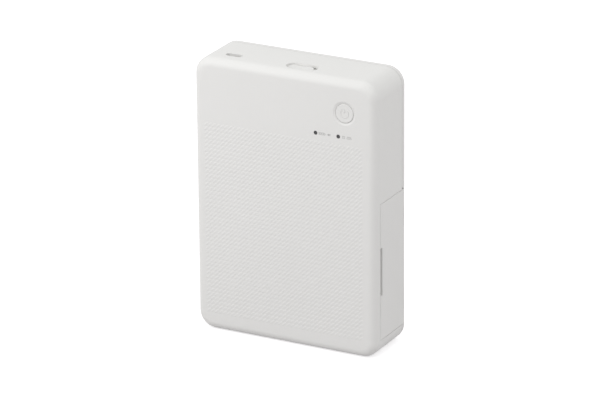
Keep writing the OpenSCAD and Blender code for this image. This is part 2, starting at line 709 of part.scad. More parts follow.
module platen_shaft() {
    color(steel) rod_x(left_x - 0.6, right_x + 2, platen_y, platen_z, shaft_r);
}

module platen_rubber() {
    color("dimgray") difference() {
        rod_x(1 - side_room, side_room - 0.5, platen_y, platen_z, platen_r);
        rod_x(-side_room, side_room, platen_y, platen_z, shaft_r + press_gap);
    }
}

module bushings() {
    color("tan") for (p = [feed_at, [platen_y, platen_z]]) difference() {
        union() {
            rod_x(left_x, left_x + plate_t + 0.01, p[0], p[1], 2.25 - press_gap);
            rod_x(left_x + plate_t, left_x + plate_t + 0.7, p[0], p[1], 2.8);
            rod_x(right_x - 0.01, right_x + plate_t, p[0], p[1], 2.25 - press_gap);
            rod_x(right_x - 0.7, right_x, p[0], p[1], 2.8);
        }
        rod_x(-body_w / 2, body_w / 2, p[0], p[1], shaft_r + run_gap);
    }
}

module motor_can(at, r, l) {
    difference() {
        union() {
            rod_x(left_x + plate_t, left_x + plate_t + l, at[0], at[1], r);
            rod_x(left_x + 0.1, left_x + plate_t + 0.2, at[0], at[1], 2 - 0.03);
            rod_x(left_x + plate_t + l - 0.1, left_x + plate_t + l + 1, at[0], at[1], 1.6);
        }
        rod_x(left_x - 1, left_x + 8, at[0], at[1], motor_shaft_r + run_gap);
        for (s = [-1, 1]) block(left_x + plate_t + l - 3, left_x + plate_t + l + 2,
            at[0] + s * r - 0.5, at[0] + s * r + 0.5, at[1] - 1, at[1] + 1);
    }
}

module feed_motor() {
    color(steel) motor_can(motor_at, motor_r, 20);
}

module feed_pinion() {
    color("gold") {
        rod_x(layer3[0], left_x + 7, motor_at[0], motor_at[1], motor_shaft_r);
        gear(motor_at, [layer3[0], layer2[1]], teeth_pinion, pinion_turn);
    }
}

module reduction_gear() {
    color("ivory") difference() {
        union() {
            gear(reduction_at, layer3, teeth_big, small_turn);
            gear(reduction_at, [layer3[1] - 0.1, layer2[1]], teeth_small, small_turn);
            rod_x(layer2[1] - 0.1, left_x - 0.1, reduction_at[0], reduction_at[1], 2);
        }
        rod_x(-body_w / 2, left_x + 0.5, reduction_at[0], reduction_at[1], gear_pin_r + run_gap);
    }
}

module feed_gear() {
    color("ivory") difference() {
        gear(feed_at, layer2, teeth_feed, feed_turn);
        rod_x(-body_w / 2, left_x + 0.5, feed_at[0], feed_at[1], shaft_r + press_gap);
    }
}

module pickup_idler() {
    color("ivory") difference() {
        union() {
            gear(idler_at, layer2, teeth_idler, idler_turn);
            rod_x(layer2[1] - 0.1, left_x - 0.1, idler_at[0], idler_at[1], 2);
        }
        rod_x(-body_w / 2, left_x + 0.5, idler_at[0], idler_at[1], gear_pin_r + run_gap);
    }
}

module pickup_shaft() {
    color(steel) rod_x(layer2[0] - 0.2, right_x + 2, pickup_at[0], pickup_at[1], shaft_r);
}

module pickup_gear() {
    color("ivory") difference() {
        gear(pickup_at, layer2, teeth_pickup, pickup_turn);
        rod_x(-body_w / 2, left_x + 0.5, pickup_at[0], pickup_at[1], shaft_r + press_gap);
    }
}

module pickup_tyres() {
    color("dimgray") for (x = [-tyre_x, tyre_x]) difference() {
        rod_x(x - 4, x + 4, pickup_at[0], pickup_at[1], tyre_r);
        rod_x(x - 5, x + 5, pickup_at[0], pickup_at[1], shaft_r + press_gap);
    }
}

module gear_pins() {
    color(steel) {
        rod_x(layer3[0] - 0.4, left_x + plate_t, reduction_at[0], reduction_at[1], gear_pin_r);
        for (p = [idler_at, ribbon_gear_at]) rod_x(layer2[0] - 0.5, left_x + plate_t, p[0], p[1], gear_pin_r);
    }
}

module ribbon_motor() {
    color(steel) motor_can(ribbon_motor_at, ribbon_motor_r, 17);
}

module ribbon_pinion() {
    color("gold") {
        rod_x(layer2[0], left_x + 7, ribbon_motor_at[0], ribbon_motor_at[1], motor_shaft_r);
        gear(ribbon_motor_at, layer2, teeth_pinion, ribbon_turn);
    }
}

module ribbon_gear() {
    color("ivory") difference() {
        union() {
            gear(ribbon_gear_at, layer2, teeth_c_big, c_turn);
            gear(ribbon_gear_at, [layer2[1] - 0.1, layer1[1]], teeth_c_small, c_turn);
        }
        rod_x(-body_w / 2, left_x + 0.5, ribbon_gear_at[0], ribbon_gear_at[1], gear_pin_r + run_gap);
    }
}

module spindle_gear() {
    color("ivory") {
        gear(spindle_at, layer1, teeth_spindle, 0);
        rod_x(layer1[0], cassette_x[0] - 1.6, spindle_at[0], spindle_at[1], shaft_r);
        block(cassette_x[0] - 1.7, cassette_x[0] - 0.3, spindle_at[0] - 0.45, spindle_at[0] + 0.45,
            spindle_at[1] - 1.4, spindle_at[1] + 1.4);
    }
}

// ---- Ink cassette ----

module tube_outline(z, a) {
    translate([spool_y, z]) difference() {
        circle(tube_r, $fn = 64);
        circle(tube_r - tube_t, $fn = 64);
        rotate(a) translate([tube_r - 1, 0]) square([3, 3], center = true);
    }
}

module cassette_case() {
    color("darkslategray") difference() {
        union() {
            profile_x(cassette_x[0], cassette_x[1] + 0.1) {
                tube_outline(supply_z, -slit_angle);
                tube_outline(takeup_z, slit_angle);
            }
            profile_x(grip_x[0], grip_x[1]) difference() {
                translate([spool_y - tube_r, takeup_z - 4]) square([tube_r * 2, supply_z - takeup_z + 8]);
                translate([spool_y + 2, takeup_z + 8.6]) square([8, supply_z - takeup_z - 17.2]);
            }
            for (z = [takeup_z, supply_z]) {
                rod_x(grip_x[0], grip_x[1], spool_y, z, tube_r - 0.01);
                rod_x(cassette_x[0], cassette_x[0] + 1, spool_y, z, tube_r - 0.3);
            }
            block(grip_x[1] - 0.1, grip_x[1] + 1, spool_y - 6, spool_y - 4.4, platen_z - 7, platen_z + 7);
        }
        for (z = [takeup_z, supply_z]) {
            rod_x(cassette_x[0] - 1, grip_x[1] - 0.8, spool_y, z, spool_end_r + run_gap);
            rod_x(cassette_x[0] + 1, grip_x[0], spool_y, z, tube_r - tube_t - 0.01);
        }
    }
}

module spool(z) {
    rod_x(cassette_x[0] - 1.4, grip_x[1] - 1, spool_y, z, spool_end_r);
    rod_x(cassette_x[0] + 1.2, grip_x[0] - 0.2, spool_y, z, core_r);
}

module supply_spool() {
    color("dimgray") spool(supply_z);
}

module takeup_spool() {
    color("dimgray") difference() {
        spool(takeup_z);
        block(cassette_x[0] - 1.5, cassette_x[0] - 0.1, spool_y - 0.6, spool_y + 0.6, takeup_z - 1.5, takeup_z + 1.5);
    }
}

module supply_roll() {
    color("goldenrod") difference() {
        rod_x(-film_half, film_half, spool_y, supply_z, supply_film_r);
        rod_x(-body_w / 2, body_w / 2, spool_y, supply_z, core_r + press_gap);
    }
}

module takeup_roll() {
    color("slateblue") difference() {
        rod_x(-film_half, film_half, spool_y, takeup_z, takeup_film_r);
        rod_x(-body_w / 2, body_w / 2, spool_y, takeup_z, core_r + press_gap);
    }
}

module ribbon_film() {
    a = along([spool_y, supply_z], supply_film_r + 0.3, -slit_angle);
    b = along([spool_y, supply_z], tube_r, -slit_angle);
    c = along([spool_y, takeup_z], tube_r, slit_angle);
    d = along([spool_y, takeup_z], takeup_film_r + 0.3, slit_angle);
    path = [a, b, [film_y, platen_z + 1.6], [film_y, platen_z - 1.6], c, d];
    color("goldenrod") profile_x(-film_half, film_half)
        polygon(concat(path, [for (i = [5 : -1 : 0]) path[i] + [film_t, 0]]));
}

module cassette_latch() {
    color("coral") {
        rod_x(right_x + plate_t - 1, right_x + 5.6, lever_at[0], lever_at[1], gear_pin_r - 0.03);
        profile_x(right_x + 2.2, right_x + 4.2) translate(lever_at) union() {
            circle(2.6);
            polygon([[-1.4, 2.2], [-12.2, -1.9], [-12.2, -5.5], [-10.4, -5.5], [-10, -4.1], [-0.4, -2.3]]);
        }
    }
}

// ---- Print head ----

module print_head() {
    color(steel) difference() {
        union() {
            profile_x(-head_x, head_x) translate([head_y[1], platen_z]) polygon([[-11.9, -5.5], [-11.9, 5.5],
                [-4.9, 5.5], [-3.4, 4.2], [0, 1.6], [0, -1.6], [-3.4, -4.2], [-4.9, -5.5]]);
            block(left_x - 0.6, right_x + 1.8, head_slot_y[1] - 3.1, head_slot_y[1] - 0.1, head_slot_z[0] + 0.1, head_slot_z[1] - 0.1);
        }
        for (z = [platen_z - 4.6, platen_z + 3.4]) block(-paper_w, paper_w, head_y[0] - 1, head_y[0] + 4, z, z + 1.2);
    }
}

module heater_strip() {
    color("ivory") {
        block(-head_x, head_x, head_y[1], head_y[1] + 0.55, platen_z - 1.5, platen_z + 1.5);
        block(-head_x + 1, head_x - 1, head_y[1] + 0.5, head_y[1] + 0.7, platen_z - 0.3, platen_z + 0.3);
    }
}

module head_stay() {
    color(steel) {
        block(left_x + plate_t, right_x, stay_y[0], stay_y[1], platen_z - 4, platen_z + 4);
        for (x = [-22, 22]) rod_y(x, platen_z, stay_y[1] - 0.1, stay_y[1] + 1.8, 1);
    }
}

module head_springs() {
    color(steel) for (x = [-22, 22])
        translate([x, head_y[0], platen_z]) rotate([90, 0, 0]) coil(1.7, 0.4, 6, head_y[0] - stay_y[1]);
}

module head_cable() {
    color("goldenrod") {
        block(-12, 12, cable_y, cable_y + 0.2, platen_z + 8, board_z0 + 2);
        block(-12, 12, cable_y + 0.1, board_y0 - 1.6, board_z0 + 1.8, board_z0 + 2);
        block(-12, 12, cable_y + 0.1, head_y[0] + 0.4, platen_z + 8, platen_z + 8.2);
        block(-12, 12, head_y[0] + 0.2, head_y[0] + 0.4, platen_z + 5.5, platen_z + 8.1);
    }
}

// ---- Electronics ----

module main_board() {
    color("seagreen") difference() {
        union() {
            block(-board_x, board_x, board_y0, board_y1, board_z0, board_z1);
            block(usb_x - 11, usb_x + 9, board_y0, board_y1, board_z1 - 0.1, in_z1 - 2.2);
        }
        for (p = board_screw_at) rod_y(p[0], p[1], board_y0 - 1, board_y1 + 1, screw_r + screw_gap + 0.09);
    }
}

module board_chips() {
    // Left, right, height over the board's lower edge, and thickness
    color("dimgray") {
        for (c = [[-14, -2, 16, 28, 1.2], [2, 10, 17, 27, 1], [-9, -3, 32, 38, 0.9], [20, 26, 10, 16, 2.4],
            [-12.5, 12.5, 0.6, 3.8, 1.6], [board_x - 12, board_x - 4, 14, 20, 3]])
            block(c[0], c[1], board_y0 - c[4], board_y0, board_z0 + c[2], board_z0 + c[3]);
        for (x = led_x) block(x - 0.8, x + 0.8, board_y0 - 0.6, board_y0, led_z - 0.5, led_z + 0.5);
        for (i = [0 : 4]) block(-14 + i * 3, -12.4 + i * 3, board_y0 - 0.7, board_y0, board_z0 + 11, board_z0 + 12);
        for (i = [0 : 3]) block(13, 14, board_y0 - 0.7, board_y0, board_z0 + 16 + i * 3, board_z0 + 17.6 + i * 3);
    }
}

module shield_can() {
    color(steel) difference() {
        block(6 - board_x, 26 - board_x, board_y0 - 2.2, board_y0, board_z0 + 16, board_z0 + 34);
        block(6.3 - board_x, 25.7 - board_x, board_y0 - 1.9, board_y0 + 1, board_z0 + 16.3, board_z0 + 33.7);
    }
}

module tact_switch() {
    color("dimgray") {
        block(button_x - 3, button_x + 3, board_y0 - 2.4, board_y0, button_z - 3, button_z + 3);
        rod_y(button_x, button_z, board_y0 - 3.15, board_y0 - 2.3, 1.6);
    }
}

module usb_shell() {
    color(steel) difference() {
        top_slot(usb_x - usb_w / 2, usb_y, usb_w, usb_t, in_z1 - 6.8, body_h - 0.2);
        top_slot(usb_x - usb_w / 2 + 0.3, usb_y, usb_w - 0.6, usb_t - 0.6, in_z1 - 6, body_h);
    }
}

module usb_tongue() {
    color("dimgray") {
        block(usb_x - 3.35, usb_x + 3.35, usb_y - 0.35, usb_y + 0.35, in_z1 - 6, body_h - 1.3);
        block(usb_x - 3.3, usb_x + 3.3, usb_y - 1.1, usb_y + 1.1, in_z1 - 6, in_z1 - 4.8);
    }
}

module battery() {
    color("lightslategray") block(3 - paper_w / 2, paper_w / 2 - 3, board_y1 + 1.5, paper_y - 1.25,
        pickup_at[1] + tyre_r + 3.65, in_z1 - 10.2);
}

front_case();
case_posts();
rear_case();
paper_cover();
cover_hinge_pins();
side_door();
door_hinge_pin();
latch_slider();
latch_spring();
power_button();
led_windows();
rear_feet();
cover_feet();
case_screws();
left_plate();
right_plate();
tie_rods();
inner_screws();
paper_tray();
label_sheets();
pressure_plate();
pressure_springs();
exit_guide();
feed_roller();
pinch_roller();
platen_shaft();
platen_rubber();
bushings();
feed_motor();
feed_pinion();
reduction_gear();
feed_gear();
pickup_idler();
pickup_shaft();
pickup_gear();
pickup_tyres();
gear_pins();
ribbon_motor();
ribbon_pinion();
ribbon_gear();
spindle_gear();
cassette_case();
supply_spool();
supply_roll();
takeup_spool();
takeup_roll();
ribbon_film();
cassette_latch();
print_head();
heater_strip();
head_stay();
head_springs();
head_cable();
main_board();
board_chips();
shield_can();
tact_switch();
usb_shell();
usb_tongue();
battery();
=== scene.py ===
# %% [markdown]
# # A compact photo printer, dressed in Blender
#
# The printer stands on its short end. Its case is a satin white moulding
# with a relief of small slanted bumps on the front, a seam round the rear,
# and a door in the right side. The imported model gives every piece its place.
# This lesson gives the pieces their smooth skins, their finishes and the
# small details that a plain solid leaves out.

import json
import math

import bmesh
import bpy
from mathutils import Matrix, Vector


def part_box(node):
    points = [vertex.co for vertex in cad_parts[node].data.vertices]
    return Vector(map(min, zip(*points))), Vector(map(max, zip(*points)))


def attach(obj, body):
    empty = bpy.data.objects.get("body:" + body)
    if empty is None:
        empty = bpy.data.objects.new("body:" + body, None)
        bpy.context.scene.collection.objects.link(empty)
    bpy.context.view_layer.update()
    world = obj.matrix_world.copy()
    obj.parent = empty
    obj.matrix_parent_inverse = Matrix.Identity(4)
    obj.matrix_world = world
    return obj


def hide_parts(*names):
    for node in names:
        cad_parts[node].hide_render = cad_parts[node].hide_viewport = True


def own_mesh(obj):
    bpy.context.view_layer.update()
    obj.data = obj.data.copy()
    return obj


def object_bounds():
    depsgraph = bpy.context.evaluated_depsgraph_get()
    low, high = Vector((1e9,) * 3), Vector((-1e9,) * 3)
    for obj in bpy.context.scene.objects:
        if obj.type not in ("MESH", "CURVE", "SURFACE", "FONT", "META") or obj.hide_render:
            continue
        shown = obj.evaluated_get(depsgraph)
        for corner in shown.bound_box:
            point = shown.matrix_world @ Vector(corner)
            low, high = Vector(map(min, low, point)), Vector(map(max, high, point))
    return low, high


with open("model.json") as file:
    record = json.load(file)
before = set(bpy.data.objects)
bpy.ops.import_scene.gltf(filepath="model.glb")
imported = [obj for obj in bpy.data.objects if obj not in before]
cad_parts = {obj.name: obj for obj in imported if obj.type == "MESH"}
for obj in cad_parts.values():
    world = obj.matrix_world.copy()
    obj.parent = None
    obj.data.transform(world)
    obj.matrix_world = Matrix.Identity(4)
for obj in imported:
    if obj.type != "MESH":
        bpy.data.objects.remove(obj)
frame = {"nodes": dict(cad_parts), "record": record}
cad_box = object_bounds()
nodes = frame["nodes"]
scene = bpy.context.scene
MM = 0.001
body_of_node = {n: b for b, names in frame["record"]["behaviour"]["bodies"].items() for n in names}
slot_of_node = {s["node"]: s["material_slot"] for s in frame["record"]["subparts"]}
low, high = (Vector(corner) for corner in cad_box)
print("nodes", len(nodes), "box mm", [round(v / MM, 1) for v in (*low, *high)])

# %% [markdown]
# ## The camera
#
# The camera was fitted to the corners and seams that the photograph shows.
# It is far away with a long lens, as a catalogue picture is, so upright
# edges stay almost parallel. Its place is worked out from the two angles,
# the distance and a very small roll, so each number can be read and changed.

# %% Place the camera
AZIMUTH, ELEVATION, ROLL = (math.radians(a) for a in (27.932, 20.624, -0.479))
DISTANCE = 2.11599
AIM_LEFT, AIM_BELOW = 0.006 * MM, 0.747 * MM

back = Vector((math.sin(AZIMUTH) * math.cos(ELEVATION),
               -math.cos(AZIMUTH) * math.cos(ELEVATION), math.sin(ELEVATION)))
right = Vector((math.cos(AZIMUTH), math.sin(AZIMUTH), 0))
up = back.cross(right)
aim = Vector((0, 0, high.z / 2)) - AIM_LEFT * right - AIM_BELOW * up
tilted_right = right * math.cos(ROLL) + up * math.sin(ROLL)
tilted_up = up * math.cos(ROLL) - right * math.sin(ROLL)

camera_data = bpy.data.cameras.new("studio_camera")
camera_data.lens = 252.784
camera_data.sensor_width = 36
camera_data.clip_end = 20
camera = bpy.data.objects.new("studio_camera", camera_data)
turn = Matrix((tilted_right, tilted_up, back)).transposed().to_4x4()
camera.matrix_world = Matrix.Translation(aim + back * DISTANCE) @ turn
scene.collection.objects.link(camera)
scene.camera = camera
scene.view_settings.view_transform = "Standard"
print("camera at", [round(v, 3) for v in camera.location])

# %% [markdown]
# ## Helpers for meshes
#
# Each new piece starts as a bmesh and ends as an object that sits at the
# origin with its place in its mesh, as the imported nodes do. One helper
# finishes any piece: it makes the mesh, gives the finish, and lets the piece
# ride on the body that carries it. Edges that bend more than a limit stay
# crisp, and all others are shaded smooth.

# %% Turn a bmesh into a piece
def shade_smooth(shape, sharp):
    """Smooth faces, with edges that bend more than the limit in degrees kept crisp."""
    for face in shape.faces:
        face.smooth = True
    for edge in shape.edges:
        edge.smooth = len(edge.link_faces) == 2 and edge.calc_face_angle(0) < math.radians(sharp)


def object_from(name, shape, finish):
    """A new object in the scene that takes its mesh from a bmesh."""
    mesh = bpy.data.meshes.new(name)
    shape.to_mesh(mesh)
    shape.free()
    piece = bpy.data.objects.new(name, mesh)
    scene.collection.objects.link(piece)
    mesh.materials.append(finish)
    return piece


def make_piece(name, shape, body, slot, finish=None, sharp=35):
    """A piece on the body that carries it. Its finish is that of its slot, unless another is named."""
    bmesh.ops.recalc_face_normals(shape, faces=shape.faces)
    shade_smooth(shape, sharp)
    piece = object_from(name, shape, finishes[finish or slot])
    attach(piece, body)
    return piece


# %% [markdown]
# Most small details are blocks, short rods and rings. The next helpers add
# these to a bmesh. All their measures are in millimetres, as on a drawing,
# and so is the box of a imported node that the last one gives.

# %% Blocks and rods
def add_block(shape, x, y, z, bevel=0.0):
    """A block between three pairs of millimetre values, with its edges rounded."""
    new = bmesh.ops.create_cube(shape, size=1.0)["verts"]
    size = Vector((x[1] - x[0], y[1] - y[0], z[1] - z[0])) * MM
    middle = Vector((x[0] + x[1], y[0] + y[1], z[0] + z[1])) * MM / 2
    bmesh.ops.scale(shape, vec=size, verts=new)
    bmesh.ops.translate(shape, vec=middle, verts=new)
    if bevel:
        edges = list({e for v in new for e in v.link_edges})
        bmesh.ops.bevel(shape, geom=edges, offset=bevel * MM, segments=2, profile=0.5,
                        affect="EDGES", material=-1, clamp_overlap=True)


def add_rod(shape, start, end, radius, tip, sides):
    """A rod between two points, which may taper to another radius at its end."""
    a, b = Vector(start) * MM, Vector(end) * MM
    new = bmesh.ops.create_cone(shape, cap_ends=True, segments=sides, radius1=radius * MM,
                                radius2=tip * MM, depth=(b - a).length)["verts"]
    turned = Vector((0, 0, 1)).rotation_difference((b - a).normalized()).to_matrix().to_4x4()
    bmesh.ops.transform(shape, matrix=Matrix.Translation((a + b) / 2) @ turned, verts=new)


def millimetre_box(node):
    """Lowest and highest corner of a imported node, in millimetres."""
    return tuple(Vector(corner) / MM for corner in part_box(node))


# %% [markdown]
# A ring or an arc starts as one small flat rectangle, which is then spun
# round an axis.

# %% Spun rectangles
def add_rectangle(shape, size, at, upright=False):
    """A flat rectangle round a point. It lies level, or stands upright across X."""
    new = bmesh.ops.create_grid(shape, x_segments=1, y_segments=1, size=0.5)["verts"]
    if upright:
        quarter = Matrix.Rotation(math.radians(90), 3, "Y")
        bmesh.ops.rotate(shape, cent=(0, 0, 0), matrix=quarter, verts=new)
    bmesh.ops.scale(shape, vec=Vector(size) * MM, verts=new)
    bmesh.ops.translate(shape, vec=Vector(at) * MM, verts=new)
    return new


def spin_rectangle(shape, verts, centre, axis, degrees, steps):
    """Sweeps a flat rectangle round an axis. A full turn meets itself, so only the outline is swept."""
    faces = list({f for v in verts for f in v.link_faces})
    edges = list({e for v in verts for e in v.link_edges})
    full = degrees == 360
    if full:
        bmesh.ops.delete(shape, geom=faces, context="FACES_ONLY")
        faces = []
    bmesh.ops.spin(shape, geom=faces + edges + list(verts), cent=Vector(centre) * MM, axis=axis,
                   angle=math.radians(degrees), steps=steps, use_merge=full)


# %% [markdown]
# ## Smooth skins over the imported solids
#
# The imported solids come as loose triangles, so a roller would show its
# facets. A copy is merged into one skin, curved faces are shaded smooth and
# real corners stay crisp. Weighted normals keep the wide flat faces flat
# right up to the rounded edges beside them.

# %% Copy a node as a smooth skin
def smooth_skin(node, finish, sharp=16):
    """A merged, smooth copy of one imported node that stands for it."""
    shape = bmesh.new()
    shape.from_mesh(nodes[node].data)
    bmesh.ops.remove_doubles(shape, verts=shape.verts, dist=2e-6)
    bmesh.ops.dissolve_degenerate(shape, edges=shape.edges, dist=1e-7)
    shade_smooth(shape, sharp)
    skin = object_from(node + "_skin", shape, finish)
    weighted = skin.modifiers.new("flat_faces_stay_flat", "WEIGHTED_NORMAL")
    weighted.keep_sharp = True
    weighted.weight = 100
    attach(skin, body_of_node[node])
    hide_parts(node)
    return skin


# %% [markdown]
# ## Node groups that several finishes share
#
# A moulded or machined surface is never one flat colour. Four small groups
# give what most of the finishes need: a fine grain, soft edges, marks from
# handling, and the lines that brushing or turning leaves. They put out only
# masks, heights and normals. Each finish decides what it does with them.

# %% Groups and sockets
def start_group(name, inputs, outputs):
    """An empty shader node group with named sockets, and its two end nodes."""
    group = bpy.data.node_groups.new(name, "ShaderNodeTree")
    for label, value in inputs:
        socket = group.interface.new_socket(name=label, in_out="INPUT", socket_type="NodeSocketFloat")
        socket.default_value = value
    for label, kind in outputs:
        group.interface.new_socket(name=label, in_out="OUTPUT", socket_type=kind)
    return group, group.nodes.new("NodeGroupInput"), group.nodes.new("NodeGroupOutput")


def feed(tree, value, socket):
    """Links a value that comes from a node, and writes a plain one into the socket."""
    if hasattr(value, "is_output"):
        tree.links.new(value, socket)
    else:
        socket.default_value = value


# %% [markdown]
# Each of the next functions adds one node and returns its output, so a chain
# of nodes reads like a sum.

# %% Noise, arithmetic and places
def noise(tree, scale, detail, rough, place):
    node = tree.nodes.new("ShaderNodeTexNoise")
    for label, value in (("Scale", scale), ("Detail", detail), ("Roughness", rough), ("Vector", place)):
        feed(tree, value, node.inputs[label])
    return node.outputs["Fac"]


def math_node(tree, operation, a, b=0.0, clamp=False):
    node = tree.nodes.new("ShaderNodeMath")
    node.operation = operation
    node.use_clamp = clamp
    for value, socket in zip((a, b), node.inputs):
        feed(tree, value, socket)
    return node.outputs[0]


def spread(tree, value, low_in, high_in, low_out=0.0, high_out=1.0):
    """Maps one range to another, and holds the result between the two ends."""
    node = tree.nodes.new("ShaderNodeMapRange")
    node.clamp = True
    for number, socket in zip((value, low_in, high_in, low_out, high_out), node.inputs):
        feed(tree, number, socket)
    return node.outputs["Result"]


def object_place(tree):
    return tree.nodes.new("ShaderNodeTexCoord").outputs["Object"]


def along(tree, axis):
    """How far a point lies along one axis of the object, in metres."""
    parts = tree.nodes.new("ShaderNodeSeparateXYZ")
    tree.links.new(object_place(tree), parts.inputs[0])
    return parts.outputs[axis]


# %% [markdown]
# **Fine grain.** The mould of a plastic case is etched, so the skin carries
# a grain of about a fifth of a millimetre. Two noises of different size make
# it: one for the grain, and a broad one for the slow change of tone that
# every moulding has.

# %% Group: fine grain
fine_grain, gin, gout = start_group("fine_grain", [("Grains per metre", 5200.0)],
                                    [("Height", "NodeSocketFloat"), ("Tone", "NodeSocketFloat")])
place = object_place(fine_grain)
small = noise(fine_grain, gin.outputs["Grains per metre"], 2.0, 0.55, place)
broad = noise(fine_grain, 28.0, 3.0, 0.6, place)
fine_grain.links.new(small, gout.inputs["Height"])
mixed = math_node(fine_grain, "ADD", math_node(fine_grain, "MULTIPLY", broad, 0.65),
                  math_node(fine_grain, "MULTIPLY", small, 0.35))
fine_grain.links.new(spread(fine_grain, mixed, 0.35, 0.65), gout.inputs["Tone"])

# %% [markdown]
# **Soft edges.** No real edge is a knife edge. The Bevel node looks round a
# corner and returns a rounded normal, which catches the light as a small
# radius does. How far that normal leans from the true one also tells where
# edges are, which gives a mask for the polish of handling.

# %% Group: soft edges
soft_edge, gin, gout = start_group("soft_edge", [("Radius", 0.0003)],
                                   [("Normal", "NodeSocketVector"), ("Edge", "NodeSocketFloat")])
bevel = soft_edge.nodes.new("ShaderNodeBevel")
bevel.samples = 6
soft_edge.links.new(gin.outputs["Radius"], bevel.inputs["Radius"])
facing = soft_edge.nodes.new("ShaderNodeNewGeometry")
agree = soft_edge.nodes.new("ShaderNodeVectorMath")
agree.operation = "DOT_PRODUCT"
soft_edge.links.new(bevel.outputs["Normal"], agree.inputs[0])
soft_edge.links.new(facing.outputs["Normal"], agree.inputs[1])
soft_edge.links.new(bevel.outputs["Normal"], gout.inputs["Normal"])
soft_edge.links.new(spread(soft_edge, agree.outputs["Value"], 0.99, 0.8), gout.inputs["Edge"])

# %% [markdown]
# **Handling marks.** Fingers leave wide, faint patches that are a little
# glossier, and dust settles on what faces up. Both are masks here, so a
# white case can take very little of them and a rubber tyre more.

# %% Group: handling marks
handling, gin, gout = start_group("handling_marks", [("Marks per metre", 60.0)],
                                  [("Smudge", "NodeSocketFloat"), ("Dust", "NodeSocketFloat")])
place = object_place(handling)
patches = noise(handling, gin.outputs["Marks per metre"], 4.0, 0.62, place)
handling.links.new(spread(handling, patches, 0.52, 0.72), gout.inputs["Smudge"])
upward = handling.nodes.new("ShaderNodeSeparateXYZ")
handling.links.new(handling.nodes.new("ShaderNodeNewGeometry").outputs["Normal"], upward.inputs[0])
specks = noise(handling, 900.0, 3.0, 0.7, place)
dust = math_node(handling, "MULTIPLY", spread(handling, upward.outputs["Z"], 0.2, 1.0),
                 spread(handling, specks, 0.45, 0.7))
handling.links.new(dust, gout.inputs["Dust"])

# %% [markdown]
# **Tool lines.** Rolled sheet, drawn wire and ground bar all show fine lines
# that run one way. The group stretches a noise along a direction: a small
# number means long lines that way, a large number means close together.

# %% Group: tool lines
LINE_SCALES = [("Along X", 60.0), ("Along Y", 4000.0), ("Along Z", 4000.0)]
tool_lines, gin, gout = start_group("tool_lines", LINE_SCALES,
                                    [("Height", "NodeSocketFloat"), ("Tone", "NodeSocketFloat")])
scales = tool_lines.nodes.new("ShaderNodeCombineXYZ")
for (label, _), socket in zip(LINE_SCALES, scales.inputs):
    tool_lines.links.new(gin.outputs[label], socket)
stretch = tool_lines.nodes.new("ShaderNodeVectorMath")
stretch.operation = "MULTIPLY"
tool_lines.links.new(object_place(tool_lines), stretch.inputs[0])
tool_lines.links.new(scales.outputs[0], stretch.inputs[1])
lines = noise(tool_lines, 1.0, 3.0, 0.6, stretch.outputs[0])
tool_lines.links.new(lines, gout.inputs["Height"])
tool_lines.links.new(spread(tool_lines, lines, 0.3, 0.7), gout.inputs["Tone"])
print("groups", [g.name for g in bpy.data.node_groups])

# %% [markdown]
# ## Finishes
#
# A finish mixes colours by masks and places the groups with its own values.
# These short helpers do both, and a plain factor makes a colour darker or
# lighter without leaving the range that a surface can have.

# %% Mix colours and place groups
def set_inputs(node, **values):
    """Writes plain values into a node's inputs. An underscore stands for each blank in a label."""
    for label, value in values.items():
        node.inputs[label.replace("_", " ")].default_value = value


def use_group(tree, group, **values):
    node = tree.nodes.new("ShaderNodeGroup")
    node.node_tree = group
    set_inputs(node, **values)
    return node


def mix_colour(tree, amount, a, b):
    node = tree.nodes.new("ShaderNodeMix")
    node.data_type = "RGBA"
    for label, value in (("Factor", amount), ("A", a), ("B", b)):
        feed(tree, (*value, 1.0) if isinstance(value, tuple) else value, node.inputs[label])
    return node.outputs["Result"]


def shade(colour, factor):
    return tuple(min(1.0, c * factor) for c in colour)


# %% [markdown]
# One function builds a finish from a base colour and the amounts of each
# effect, because a plastic, a rubber and a metal differ only in these. The
# colour moves a little with the grain's tone, smudges change the gloss, dust
# and edges change the colour, and the grain or the tool lines give the bump.
# The depth of the grain is in millimetres.

# %% Build a finish
DUST_COLOUR = (0.6, 0.58, 0.55)
COAT_ROUGHNESS = 0.12
finishes = {}


